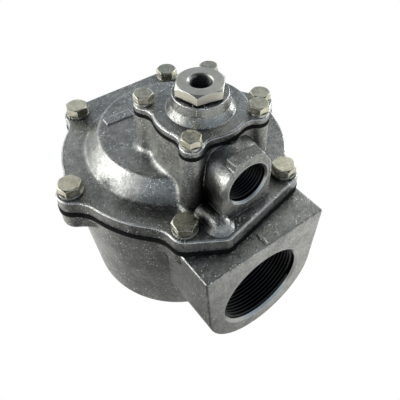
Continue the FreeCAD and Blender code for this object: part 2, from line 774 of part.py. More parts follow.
    # Chamber over the main diaphragm, then the pilot stage in the tower.
    chamber = turned("bonnet_chamber", [
        ("0", BONNET_FOOT + " - overrun"),
        ("chamber_radius", BONNET_FOOT + " - overrun"),
        ("chamber_radius", BONNET_FOOT + " + chamber_skirt"),
        ("dome_foot_radius - dome_wall", FLANGE_TOP),
        ("dome_rim_radius - dome_wall", CEILING),
        ("0", CEILING),
    ])
    below = rod("bonnet_below", "bolt_circle + 2 * lobe_radius", BONNET_FOOT + " - bolt_circle", BONNET_FOOT)
    ring_floor = PILOT_SEAT_TOP + " - pilot_ring_depth"
    pocket = turned("pilot_pocket", [
        ("0", PILOT_SEAT_TOP),
        ("pilot_seat_radius", PILOT_SEAT_TOP),
        ("pilot_seat_radius", ring_floor),
        ("tower_pocket_radius", ring_floor),
        ("tower_pocket_radius", TOWER_TOP + " + overrun"),
        ("0", TOWER_TOP + " + overrun"),
    ], at_pilot=True)
    seat_bore = rod("pilot_seat_hole", "pilot_seat_bore", EXHAUST_AXIS, TOWER_TOP, "pilot_offset")
    bend = doc.addObject("Part::Sphere", "exhaust_bend")
    bend.setExpression("Radius", linked("pilot_seat_bore"))
    bend.setExpression("Placement.Base.x", linked("pilot_offset"))
    bend.setExpression("Placement.Base.z", linked(EXHAUST_AXIS))
    duct_end = "exhaust_face - overrun"
    duct = rod_along_x("exhaust_duct", "pilot_seat_bore", "pilot_offset", duct_end, "0", EXHAUST_AXIS)
    thread = rod_along_x(
        "exhaust_thread", "exhaust_thread_radius", "exhaust_face - exhaust_thread_depth",
        "exhaust_face + overrun", "0", EXHAUST_AXIS)
    mouth = mouth_along_x(
        "exhaust_mouth", "exhaust_thread_radius", "exhaust_mouth_radius", "exhaust_face", "0", EXHAUST_AXIS)
    transfer_reach = "(pilot_seat_radius + tower_pocket_radius) / 2"
    transfers = []
    for number, angle in enumerate(TRANSFER_ANGLES, start=1):
        across = f"pilot_offset + {transfer_reach} * {math.cos(math.radians(angle)):.9f}"
        along = f"{transfer_reach} * {math.sin(math.radians(angle)):.9f}"
        transfers.append(rod(
            f"transfer_{number}", "transfer_radius", CEILING + " - overrun",
            ring_floor + " + overrun", across, along))
    bleed = rod(
        "bonnet_bleed", "bleed_hole_radius", BONNET_FOOT + " - overrun",
        FLANGE_TOP + " + bleed_cross_rise", "bleed_x", "bleed_y")
    cross = rod_along_x(
        "bleed_cross", "bleed_hole_radius", "dome_rim_radius - bleed_hole_radius", "bleed_x", "bleed_y",
        FLANGE_TOP + " + bleed_cross_rise")
    holes = main_bolt_holes(
        "bonnet_bolt_hole", "main_bolt_radius + hole_clearance",
        BONNET_FOOT + " - overrun", FLANGE_TOP + " + overrun")
    holes += pilot_bolt_holes(
        "tower_bolt_hole", "pilot_bolt_radius + thread_clearance",
        COVER_TOP + " + pilot_washer_thickness - pilot_bolt_length - overrun", TOWER_TOP + " + overrun")
    # The bolts beside the tower stand in spot faces that cut its foot back.
    holes += main_bolt_holes("spot_face", "main_washer_radius + spot_face_gap", FLANGE_TOP, DOME_TOP)
    tools = [below, chamber, pocket, seat_bore, bend, duct, thread, mouth, bleed, cross]
    bonnet = cut("bonnet_cut", outside, tools + transfers + holes)
    finish("bonnet", bonnet)


def build_main_diaphragm():
    """Moulded rubber diaphragm: clamped rim, conical web and flat centre on the seat."""
    outline = outline_object("main_rim_outline", main_wire(size("rim_bulge")))
    rim = plate("main_rim", outline, "face_height", "rim_thickness")
    below, above = "face_height - overrun", BONNET_FOOT + " + overrun"
    inside = rod("main_rim_inside", "chamber_radius", below, above)
    bleed = rod("main_rubber_bleed", "bleed_hole_radius", below, above, "bleed_x", "bleed_y")
    holes = main_bolt_holes("rubber_bolt_hole", "main_bolt_radius + hole_clearance", below, above)
    rim = cut("main_rim_cut", rim, [inside, bleed] + holes)
    centre_top = SEAT_TOP + " + rubber_thickness"
    hole = "main_bolt_radius + plate_clearance"
    web = turned("main_web", [
        (hole, SEAT_TOP),
        ("main_centre_radius", SEAT_TOP),
        ("chamber_radius - web_foot_margin", "face_height"),
        ("chamber_radius + overrun", "face_height"),
        ("chamber_radius + overrun", BONNET_FOOT),
        ("chamber_radius - web_top_margin", BONNET_FOOT),
        ("main_centre_radius + web_centre_step", centre_top),
        (hole, centre_top),
    ])
    finish("main_diaphragm", fused("main_diaphragm_fused", [rim, web]))


def build_pilot_diaphragm():
    """The small diaphragm under the pilot cover, made like the main one."""
    outline = outline_object("pilot_rim_outline", tower_wire(size("pilot_rim_bulge")))
    rim = plate("pilot_rim", outline, TOWER_TOP, "pilot_rim_thickness", "pilot_offset")
    below, above = TOWER_TOP + " - overrun", COVER_FOOT + " + overrun"
    inside = rod("pilot_rim_inside", "tower_pocket_radius", below, above, "pilot_offset")
    holes = pilot_bolt_holes("pilot_rubber_hole", "pilot_bolt_radius + hole_clearance", below, above)
    rim = cut("pilot_rim_cut", rim, [inside] + holes)
    centre_top = PILOT_SEAT_TOP + " + pilot_rubber_thickness"
    hole = "rivet_radius + plate_clearance"
    web = turned("pilot_web", [
        (hole, PILOT_SEAT_TOP),
        ("pilot_centre_radius", PILOT_SEAT_TOP),
        ("tower_pocket_radius - pilot_web_foot_margin", TOWER_TOP),
        ("tower_pocket_radius + overrun", TOWER_TOP),
        ("tower_pocket_radius + overrun", COVER_FOOT),
        ("tower_pocket_radius - pilot_web_top_margin", COVER_FOOT),
        ("pilot_centre_radius + pilot_web_centre_step", centre_top),
        (hole, centre_top),
    ], at_pilot=True)
    finish("pilot_diaphragm", fused("pilot_diaphragm_fused", [rim, web]))


def build_pilot_cover():
    """Small cast cover with a flared boss that takes the fitting."""
    bevel_foot = COVER_TOP + " - cover_edge_bevel"
    outline = outline_object("cover_outline", tower_wire(0.0))
    lid = plate("cover_plate", outline, COVER_FOOT, "cover_thickness - cover_edge_bevel", "pilot_offset")
    bevel = drafted(
        "cover_bevel", tower_wire, 0.0, -size("cover_edge_bevel"), bevel_foot, COVER_TOP, "pilot_offset")
    boss = turned("cover_boss", [
        ("0", COVER_FOOT),
        ("cover_boss_foot", COVER_FOOT),
        ("cover_boss_foot", COVER_TOP),
        ("cover_boss_radius + cover_boss_draft", COVER_TOP + " + cover_flare_rise"),
        ("cover_boss_radius", BOSS_TOP),
        ("0", BOSS_TOP),
    ], at_pilot=True)
    solid = fused("cover_outside", [lid, bevel, boss])
    cavity_top = COVER_FOOT + " + cover_cavity_depth"
    inside = turned("cover_inside", [
        ("0", COVER_FOOT + " - overrun"),
        ("tower_pocket_radius - cover_cavity_margin", COVER_FOOT + " - overrun"),
        ("tower_pocket_radius - cover_cavity_margin", cavity_top),
        ("spring_pocket_radius", cavity_top + " + cover_cavity_slope"),
        ("spring_pocket_radius", SPRING_SHELF),
        ("fitting_stem_radius + thread_clearance", SPRING_SHELF),
        ("fitting_stem_radius + thread_clearance", BOSS_TOP + " + overrun"),
        ("0", BOSS_TOP + " + overrun"),
    ], at_pilot=True)
    holes = pilot_bolt_holes(
        "cover_bolt_hole", "pilot_bolt_radius + hole_clearance",
        COVER_FOOT + " - overrun", COVER_TOP + " + overrun")
    finish("pilot_cover", cut("cover_cut", solid, [inside] + holes))


def hexagon(name, flats, foot, height, x="0", y="0", turn=0.0):
    """An upright hexagonal prism across its flats."""
    thing = doc.addObject("Part::Prism", name)
    thing.Polygon = 6
    thing.Placement.Rotation = FreeCAD.Rotation(FreeCAD.Vector(0, 0, 1), turn)
    thing.setExpression("Circumradius", linked(f"{flats} / sqrt(3)"))
    thing.setExpression("Height", linked(height))
    for axis, text in (("x", x), ("y", y), ("z", foot)):
        if text != "0":
            thing.setExpression(f"Placement.Base.{axis}", linked(text))
    return thing


def build_pilot_fitting():
    """Hexagonal fitting with the pilot port through it, and the seal under it."""
    chamfer = f"fitting_flats * {(2 / math.sqrt(3) - 1) / 2:.9f} * {CHAMFER_SLOPE}"
    stock = turned("fitting_stock", [
        ("0", SPRING_SHELF),
        ("fitting_stem_radius", SPRING_SHELF),
        ("fitting_stem_radius", FITTING_FOOT),
        ("fitting_flats / sqrt(3)", FITTING_FOOT),
        ("fitting_flats / sqrt(3)", FITTING_TOP + " - " + chamfer),
        ("fitting_flats / 2", FITTING_TOP),
        ("0", FITTING_TOP),
    ], at_pilot=True)
    across = hexagon(
        "fitting_hex", "fitting_flats", SPRING_SHELF + " - overrun",
        f"({FITTING_TOP}) - ({SPRING_SHELF}) + 2 * overrun", "pilot_offset", "0", FITTING_TURN)
    outside = common("fitting_outside", stock, across)
    bore = turned("fitting_bore", [
        ("0", SPRING_SHELF + " - overrun"),
        ("fitting_thread_radius", SPRING_SHELF + " - overrun"),
        ("fitting_thread_radius", FITTING_TOP + " - (fitting_mouth_radius - fitting_thread_radius)"),
        ("fitting_mouth_radius", FITTING_TOP),
        ("0", FITTING_TOP + " + overrun"),
    ], at_pilot=True)
    finish("pilot_fitting", cut("fitting_cut", outside, [bore]))
    seal = turned("seal_ring", [
        ("fitting_stem_radius + plate_clearance", BOSS_TOP),
        ("fitting_seal_radius", BOSS_TOP),
        ("fitting_seal_radius", FITTING_FOOT),
        ("fitting_stem_radius + plate_clearance", FITTING_FOOT),
    ], at_pilot=True)
    finish("fitting_washer", seal)


def hex_bolt(name, radius, flats, head, length, seat, x, y, turn):
    """A hex bolt whose head stands on a seat height, with its shank below."""
    chamfer = f"{flats} * {(2 / math.sqrt(3) - 1) / 2:.9f} * {CHAMFER_SLOPE}"
    stock = turned(name + "_stock", [
        ("0", f"{seat} - {length}"),
        (f"{radius} * {1 - BOLT_POINT_SHARE}", f"{seat} - {length}"),
        (radius, f"{seat} - {length} + {radius} * {BOLT_POINT_SHARE}"),
        (radius, seat),
        (f"{flats} / sqrt(3)", seat),
        (f"{flats} / sqrt(3)", f"{seat} + {head} - {chamfer}"),
        (f"{flats} * {BOLT_TOP_SHARE}", f"{seat} + {head}"),
        ("0", f"{seat} + {head}"),
    ])
    stock.setExpression("Placement.Base.x", linked(x))
    stock.setExpression("Placement.Base.y", linked(y))
    across = hexagon(
        name + "_hex", flats, f"{seat} - {length} - overrun", f"{length} + {head} + 2 * overrun", x, y, turn)
    return finish(name, common(name + "_solid", stock, across))


def lock_washer(name, radius, hole, thickness, foot, x, y, turn):
    """A split spring washer."""
    ring = turned(name + "_ring", [
        (hole, foot),
        (radius, foot),
        (radius, f"{foot} + {thickness}"),
        (hole, f"{foot} + {thickness}"),
    ])
    ring.setExpression("Placement.Base.x", linked(x))
    ring.setExpression("Placement.Base.y", linked(y))
    slit = doc.addObject("Part::Box", name + "_slit")
    slit.Placement.Rotation = FreeCAD.Rotation(FreeCAD.Vector(0, 0, 1), turn)
    slit.setExpression("Length", linked(f"{radius} + overrun"))
    slit.setExpression("Width", linked("washer_slit"))
    slit.setExpression("Height", linked(f"{thickness} + 2 * overrun"))
    for axis, text in (("x", x), ("y", y), ("z", f"{foot} - overrun")):
        slit.setExpression(f"Placement.Base.{axis}", linked(text))
    return finish(name, cut(name + "_solid", ring, [slit]))


def build_fasteners():
    """Six main bolts and four pilot bolts, each on its own split washer."""
    spots = ring_places(MAIN_BOLTS, FIRST_MAIN_BOLT_ANGLE, 1.0)
    for number, ((x, y), turn) in enumerate(zip(spots, MAIN_HEAD_TURNS), start=1):
        across, along = f"bolt_circle * {x:.9f}", f"bolt_circle * {y:.9f}"
        slit = turn * WASHER_TURN_STEP + SPRING_WASHER_SLIT_TURN
        lock_washer(
            f"main_lock_washer_{number}", "main_washer_radius", "main_bolt_radius + plate_clearance",
            "main_washer_thickness", FLANGE_TOP, across, along, slit)
        hex_bolt(
            f"main_bolt_{number}", "main_bolt_radius", "main_bolt_flats", "main_bolt_head",
            "main_bolt_length", FLANGE_TOP + " + main_washer_thickness", across, along, turn)
    spots = ring_places(PILOT_BOLTS, FIRST_PILOT_BOLT_ANGLE, 1.0)
    for number, ((x, y), turn) in enumerate(zip(spots, PILOT_HEAD_TURNS), start=1):
        across, along = f"pilot_offset + pilot_bolt_circle * {x:.9f}", f"pilot_bolt_circle * {y:.9f}"
        slit = turn * WASHER_TURN_STEP + SPRING_WASHER_SLIT_TURN
        lock_washer(
            f"pilot_lock_washer_{number}", "pilot_washer_radius", "pilot_bolt_radius + plate_clearance",
            "pilot_washer_thickness", COVER_TOP, across, along, slit)
        hex_bolt(
            f"pilot_bolt_{number}", "pilot_bolt_radius", "pilot_bolt_flats", "pilot_bolt_head",
            "pilot_bolt_length", COVER_TOP + " + pilot_washer_thickness", across, along, turn)


def disc(name, hole, radius, foot, top, at_pilot=False):
    """A flat disc with a hole."""
    corners = [(hole, foot), (radius, foot), (radius, top), (hole, top)]
    return finish(name, turned(name + "_disc", corners, at_pilot))


def build_main_centre():
    """The discs, screw and nut that clamp the main diaphragm's centre."""
    hole = "main_bolt_radius + plate_clearance / 2"
    top_plate_foot = SEAT_TOP + " + rubber_thickness"
    top_plate_top = top_plate_foot + " + main_top_plate_thickness"
    seat_plate_foot = SEAT_TOP + " - main_seat_plate_thickness"
    disc("main_top_plate", hole, "main_top_plate_radius", top_plate_foot, top_plate_top)
    disc("main_seat_plate", hole, "main_seat_plate_radius", seat_plate_foot, SEAT_TOP)
    nut_top = top_plate_top + " + main_nut_height"
    nut_ring = turned("nut_ring", [
        ("main_bolt_radius + thread_clearance", top_plate_top),
        ("main_bolt_flats / sqrt(3)", top_plate_top),
        ("main_bolt_flats / sqrt(3)", nut_top),
        ("main_bolt_radius + thread_clearance", nut_top),
    ])
    nut_reach = "main_top_plate_thickness + main_nut_height + overrun"
    nut_hex = hexagon("nut_hex", "main_bolt_flats", top_plate_foot, nut_reach)
    finish("main_plate_nut", common("nut_solid", nut_ring, nut_hex))
    head_foot = seat_plate_foot + " - main_bolt_head"
    screw = turned("screw_stock", [
        ("0", head_foot),
        ("main_bolt_flats / sqrt(3)", head_foot),
        ("main_bolt_flats / sqrt(3)", seat_plate_foot),
        ("main_bolt_radius", seat_plate_foot),
        ("main_bolt_radius", nut_top + " + main_screw_end"),
        ("0", nut_top + " + main_screw_end"),
    ])
    screw_reach = f"({nut_top}) - ({head_foot}) + main_screw_end + 2 * overrun"
    screw_hex = hexagon("screw_hex", "main_bolt_flats", head_foot + " - overrun", screw_reach)
    finish("main_plate_screw", common("screw_solid", screw, screw_hex))


def build_pilot_centre():
    """The discs and rivet that clamp the pilot diaphragm's centre."""
    hole = "rivet_radius + plate_clearance / 2"
    plate_foot = PILOT_SEAT_TOP + " + pilot_rubber_thickness"
    plate_top = plate_foot + " + pilot_plate_thickness"
    back_foot = PILOT_SEAT_TOP + " - pilot_back_thickness"
    disc("pilot_top_plate", hole, "pilot_plate_radius", plate_foot, plate_top, at_pilot=True)
    disc("pilot_back_plate", hole, "pilot_back_radius", back_foot, PILOT_SEAT_TOP, at_pilot=True)
    rivet = turned("rivet", [
        ("0", back_foot + " - rivet_head_height"),
        ("rivet_head_radius", back_foot + " - rivet_head_height"),
        ("rivet_head_radius", back_foot),
        ("rivet_radius", back_foot),
        ("rivet_radius", plate_top),
        ("rivet_head_radius", plate_top),
        ("rivet_head_radius", plate_top + " + rivet_head_height"),
        ("0", plate_top + " + rivet_head_height"),
    ], at_pilot=True)
    finish("pilot_rivet", rivet)


def coil_spring(name, radius, wire, half_turns, foot, top, x="0"):
    """A round-wire spring between two heights, of tilted half turns that meet tangentially."""
    rise = f"(({top}) - ({foot}) - 2 * {wire} - 2 * spring_end_gap) / {half_turns}"
    tilt = math.degrees(math.atan(size(rise) / (2 * size(radius))))
    coils = []
    for number in range(half_turns):
        coil = doc.addObject("Part::Torus", f"{name}_half_{number + 1}")
        coil.Angle3 = 180
        coil.setExpression("Radius1", linked(f"sqrt({radius} ^ 2 + ({rise} / 2) ^ 2)"))
        coil.setExpression("Radius2", linked(wire))
        lean = FreeCAD.Rotation(FreeCAD.Vector(0, 1, 0), tilt)
        start = FreeCAD.Rotation(FreeCAD.Vector(0, 0, 1), 180 * (number % 2))
        coil.Placement.Rotation = start.multiply(lean)
        if x != "0":
            coil.setExpression("Placement.Base.x", linked(x))
        middle = f"({foot}) + {wire} + spring_end_gap + {rise} * {number + 0.5}"
        coil.setExpression("Placement.Base.z", linked(middle))
        coils.append(coil)
    return finish(name, fused(name + "_wire", coils))


def build_springs():
    """The springs that close the two diaphragms."""
    coil_spring(
        "main_spring", "main_spring_radius", "main_spring_wire", SPRING_HALF_TURNS,
        SEAT_TOP + " + rubber_thickness + main_top_plate_thickness", CEILING)
    coil_spring(
        "pilot_spring", "pilot_spring_radius", "pilot_spring_wire", SPRING_HALF_TURNS,
        PILOT_SEAT_TOP + " + pilot_rubber_thickness + pilot_plate_thickness", SPRING_SHELF, "pilot_offset")


def check_and_write():
    """Checks every object and piece, then writes one file a piece."""
    doc.recompute()
    for thing in doc.Objects:
        if "Invalid" in thing.State or "Error" in thing.State:
            raise RuntimeError(f"{thing.Name} failed: {thing.State}")
    for name, thing in pieces.items():
        shape = thing.Shape
        if shape.isNull() or not shape.isValid():
            raise RuntimeError(f"{name} has no valid shape")
        if len(shape.Solids) != 1:
            raise RuntimeError(f"{name} has {len(shape.Solids)} solids")
    os.makedirs("parts", exist_ok=True)
    for name, thing in pieces.items():
        thing.Shape.exportStep(f"parts/{name}.step")
        print(f"{name}: {thing.Shape.Volume:.1f} mm3")


build_valve_body()
build_bonnet()
build_main_diaphragm()
build_pilot_diaphragm()
build_pilot_cover()
build_pilot_fitting()
build_fasteners()
build_main_centre()
build_pilot_centre()
build_springs()
check_and_write()
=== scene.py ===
"""Looks of a dust collector pulse valve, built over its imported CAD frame.

Every length is in metres, in the frame of the CAD: the outlet port looks down at the origin, the inlet port
looks along +X, and the pilot port looks up.
"""

import enum
import logging
import math
from dataclasses import dataclass

import bpy
from mathutils import Matrix, Vector


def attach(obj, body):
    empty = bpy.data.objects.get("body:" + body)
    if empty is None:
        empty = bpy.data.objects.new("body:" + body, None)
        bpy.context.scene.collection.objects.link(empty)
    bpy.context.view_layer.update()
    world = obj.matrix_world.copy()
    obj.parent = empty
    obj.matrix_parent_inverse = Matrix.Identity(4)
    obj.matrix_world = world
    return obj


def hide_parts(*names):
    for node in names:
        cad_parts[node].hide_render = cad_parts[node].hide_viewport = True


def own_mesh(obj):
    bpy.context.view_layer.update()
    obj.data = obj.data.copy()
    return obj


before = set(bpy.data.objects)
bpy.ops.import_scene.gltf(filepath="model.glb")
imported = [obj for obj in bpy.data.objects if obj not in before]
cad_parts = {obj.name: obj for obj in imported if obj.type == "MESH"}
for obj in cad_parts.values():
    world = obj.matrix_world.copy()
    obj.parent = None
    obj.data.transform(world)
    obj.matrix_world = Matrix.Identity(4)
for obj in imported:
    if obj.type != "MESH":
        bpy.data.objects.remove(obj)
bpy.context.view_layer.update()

LOG = logging.getLogger("pulse_valve")

Socket = bpy.types.NodeSocket
Piece = bpy.types.Object
Look = bpy.types.Material

CASING = "casing"
MAIN_AXIS = (0.0, 0.0)
PILOT_AXIS = (0.0289, 0.0)
MERGE_REACH = 1e-6
NOISE_BULK = (0.3, 0.7)
BEVEL_SEGMENTS = 2


class Axis(enum.Enum):
    """Ways that a port can look."""

    UP = "up"
    ALONG_X = "along_x"


class Slot(enum.Enum):
    """Material slots that the pieces of this script take their finish from."""

    CASTING = "cast_aluminium"
    RUBBER = "rubber_black"
    PLATED = "plated_steel"
    STAINLESS = "stainless"


# Ports
@dataclass(frozen=True)
class PipeThread:
    """Sizes of a pipe thread: radius of the plain bore, radius at the crest, and rise of each turn."""

    wall: float
    crest: float
    pitch: float


@dataclass(frozen=True)
class Port:
    """One threaded port.

    The thread starts at foot. The bore of a level port is machined from the X of bore_start outwards.
    """

    name: str
    thread: PipeThread
    length: float
    way: Axis
    foot: tuple
    slot: Slot = Slot.CASTING
    bore_start: float | None = None


TWO_INCH = PipeThread(0.02833, 0.02745, 0.002309)
THREE_QUARTER_INCH = PipeThread(0.01206, 0.01135, 0.001814)
QUARTER_INCH = PipeThread(0.00572, 0.00515, 0.001337)

OUTLET = Port("outlet_thread", TWO_INCH, 0.0235, Axis.UP, (*MAIN_AXIS, 0.0021))
INLET = Port("inlet_thread", TWO_INCH, 0.0235, Axis.ALONG_X, (0.0660, 0.0, 0.049), bore_start=0.062)
EXHAUST = Port(
    "exhaust_thread", THREE_QUARTER_INCH, 0.0160, Axis.ALONG_X, (0.0537, 0.0, 0.1246), bore_start=0.052)
PILOT = Port("pilot_thread", QUARTER_INCH, 0.0113, Axis.UP, (*PILOT_AXIS, 0.1552), slot=Slot.PLATED)


# Node helpers
@dataclass(frozen=True)
class Grain:
    """A noise or a field of cells: its grains per metre, its finer layers and how strong they are.

    Its coordinates are moved and stretched, where it has a shift.
    """

    scale: float
    detail: float = 3.0
    rough: float = 0.55
    shift: tuple | None = None
    stretch: tuple = (1.0, 1.0, 1.0)


class Wiring:
    """Adds nodes to one tree and links them.

    A Mix node has sockets for each type of data, so its colours are found by number: mix_inputs are the
    share and the two colours, and mix_result is the mixed colour.

    Args:
        tree: The node tree of a material or of the world.
    """

    mix_inputs = (0, 6, 7)
    mix_result = 2

    def __init__(self, tree: bpy.types.NodeTree) -> None:
        """Takes the tree as it stands."""
        self.tree = tree

    def node(self, kind: str, inputs: dict | None = None, **settings: object) -> bpy.types.Node:
        """Adds a node.

        Args:
            kind: The node's type.
            inputs: Values or outputs for its sockets, by name or number.
            settings: Its own settings.

        Returns:
            The new node.
        """
        made = self.tree.nodes.new(kind)
        for key, value in settings.items():
            setattr(made, key, value)
        for key, value in (inputs or {}).items():
            self.feed(made.inputs[key], value)
        return made

    def feed(self, socket: Socket, value: object) -> None:
        """Links an output to a socket, or sets the socket's value.

        Args:
            socket: The input that is fed.
            value: An output, or a plain value.
        """
        if isinstance(value, Socket):
            self.tree.links.new(value, socket)
        else:
            socket.default_value = value

    def math(self, work: str, first: object, second: object) -> Socket:
        """Returns the result of one sum on two numbers."""
        return self.node("ShaderNodeMath", {0: first, 1: second}, operation=work).outputs[0]

    def weighted(self, values: tuple, shares: tuple) -> Socket:
        """Adds up values by their shares.

        Args:
            values: The outputs.
            shares: The share of each, which may be negative.

        Returns:
            The total.
        """
        total = None
        for value, share in zip(values, shares):
            part = self.math("MULTIPLY", value, share)
            total = part if total is None else self.math("ADD", total, part)
        return total

    def vector(self, work: str, first: object, second: object, result: str = "Value") -> Socket:
        """Returns the named result of one sum on two vectors."""
        return self.node("ShaderNodeVectorMath", {0: first, 1: second}, operation=work).outputs[result]

    def span(self, value: object, low: float, high: float, foot: float = 0.0, top: float = 1.0) -> Socket:
        """Maps a value smoothly from one range to another.

        Args:
            value: The output that is mapped.
            low: Where the first range starts.
            high: Where the first range ends.
            foot: Result at low.
            top: Result at high.

        Returns:
            The mapped output.
        """
        made = self.node(
            "ShaderNodeMapRange",
            {"Value": value, "From Min": low, "From Max": high, "To Min": foot, "To Max": top},
            interpolation_type="SMOOTHSTEP",
        )
        return made.outputs[0]

    def blended(self, share: object, first: object, second: object) -> Socket:
        """Mixes two colours.

        Args:
            share: Share of the second colour.
            first: A colour of three numbers, or an output.
            second: The same for the second colour.

        Returns:
            The mixed colour.
        """
        made = self.node("ShaderNodeMix", data_type="RGBA")
        for number, value in zip(self.mix_inputs, (share, first, second)):
            if isinstance(value, tuple):
                value = (*value, 1.0)
            self.feed(made.inputs[number], value)
        return made.outputs[self.mix_result]

    def camera_ray(self) -> Socket:
        """Returns 1 for rays that come straight from the camera, and 0 for the others."""
        return self.node("ShaderNodeLightPath").outputs["Is Camera Ray"]


class Surface(Wiring):
    """Builds one procedural material over its own shader."""

    ray_samples = 6
    ring_waver = 0.4
    ring_detail = 1.0

    def __init__(self, name: str) -> None:
        """Starts a material with its shader and Object coordinates.

        Args:
            name: Name of the material.
        """
        self.material = bpy.data.materials.new(name)
        self.material.use_nodes = True
        super().__init__(self.material.node_tree)
        self.shader = self.tree.nodes["Principled BSDF"]
        self.place = self.node("ShaderNodeTexCoord").outputs["Object"]

    def moved(self, shift: tuple, stretch: tuple = (1.0, 1.0, 1.0)) -> Socket:
        """Returns Object coordinates, moved and stretched."""
        made = self.node("ShaderNodeMapping", {"Vector": self.place, "Location": shift, "Scale": stretch})
        return made.outputs[0]

    def spread(self, grain: Grain) -> Socket:
        """Finds the coordinates that a noise is read at.

        Args:
            grain: The noise.

        Returns:
            Object coordinates, moved where the noise has a shift.
        """
        if grain.shift is None:
            return self.place
        return self.moved(grain.shift, grain.stretch)

    def noise(self, grain: Grain) -> Socket:
        """Returns the level of a noise, from 0 to 1."""
        wanted = {"Scale": grain.scale, "Detail": grain.detail, "Roughness": grain.rough}
        return self.node("ShaderNodeTexNoise", {"Vector": self.spread(grain), **wanted}).outputs[0]

    def cells(self, grain: Grain) -> Socket:
        """Returns the distance to the nearest cell's centre."""
        wanted = {"Vector": self.spread(grain), "Scale": grain.scale}
        return self.node("ShaderNodeTexVoronoi", wanted).outputs["Distance"]

    def bands(self, scale: float, way: str) -> Socket:
        """Returns the level of straight waves that follow one another along X or Y."""
        wanted = {"Vector": self.place, "Scale": scale}
        return self.node("ShaderNodeTexWave", wanted, bands_direction=way).outputs[1]

    def rings(self, scale: float, centre: tuple) -> Socket:
        """Draws the wavering rings that turning leaves round an upright axis.

        Args:
            scale: Scale of the rings.
            centre: Where the axis stands.

        Returns:
            The level of the rings.
        """
        at = self.moved((-centre[0], -centre[1], 0.0))
        wanted = {"Vector": at, "Scale": scale, "Distortion": self.ring_waver, "Detail": self.ring_detail}
        made = self.node("ShaderNodeTexWave", wanted, wave_type="RINGS", rings_direction="Z")
        return made.outputs[1]

    def worn_edge(self, radius: float, low: float, high: float) -> tuple:
        """Finds sharp edges.

        Args:
            radius: Width of the worn band.
            low: Bend at which wear starts.
            high: Bend at which wear is full.

        Returns:
            The share of wear, and the softened normal.
        """
        soft = self.node("ShaderNodeBevel", {"Radius": radius}, samples=self.ray_samples).outputs[0]
        flat = self.node("ShaderNodeNewGeometry").outputs["Normal"]
        bend = self.math("SUBTRACT", 1.0, self.vector("DOT_PRODUCT", soft, flat))
        return self.span(bend, low, high), soft

    def hollow(self, reach: float) -> Socket:
        """Returns how open a place is within reach, from 0 in a corner to 1 in the open."""
        made = self.node("ShaderNodeAmbientOcclusion", {"Distance": reach}, samples=self.ray_samples)
        return made.outputs["AO"]

    def relief(self, height: object, depth: float, normal: object = None) -> Socket:
        """Bumps a normal.

        Args:
            height: The output that says how high the surface stands.
            depth: Length that a height of 1 stands for.
            normal: The normal that is bumped, where it isn't the plain one.

        Returns:
            The bumped normal.
        """
        wanted = {"Height": height, "Distance": depth, "Strength": 1.0}
        if normal is not None:
            wanted["Normal"] = normal
        return self.node("ShaderNodeBump", wanted).outputs[0]

    def within_port(self, extra: float) -> Socket:
        """Finds the machined bores of the two level ports.

        Args:
            extra: How far outside the bores' walls it still counts.

        Returns:
            A share of 1 within the bores, and 0 elsewhere.
        """
        parts = self.node("ShaderNodeSeparateXYZ", {0: self.place}).outputs
        inside = None
        for level_port in (INLET, EXHAUST):
            across = self.math("SUBTRACT", parts[1], level_port.foot[1])
            up = self.math("SUBTRACT", parts[2], level_port.foot[2])
            square = self.math("ADD", self.math("MULTIPLY", across, across), self.math("MULTIPLY", up, up))
            near = self.math("LESS_THAN", square, (level_port.thread.wall + extra) ** 2)
            bore = self.math("MULTIPLY", near, self.math("GREATER_THAN", parts[0], level_port.bore_start))
            inside = bore if inside is None else self.math("MAXIMUM", inside, bore)
        return inside

    def done(self, colour: object, roughness: object, normal: object, metallic: float) -> Look:
        """Feeds the shader.

        Args:
            colour: Base colour.
            roughness: Roughness.
            normal: Normal.
            metallic: Share of metal.

        Returns:
            The finished material.
        """
        self.feed(self.shader.inputs["Base Color"], colour)
        self.feed(self.shader.inputs["Roughness"], roughness)
        self.feed(self.shader.inputs["Normal"], normal)
        self.shader.inputs["Metallic"].default_value = metallic
        return self.material


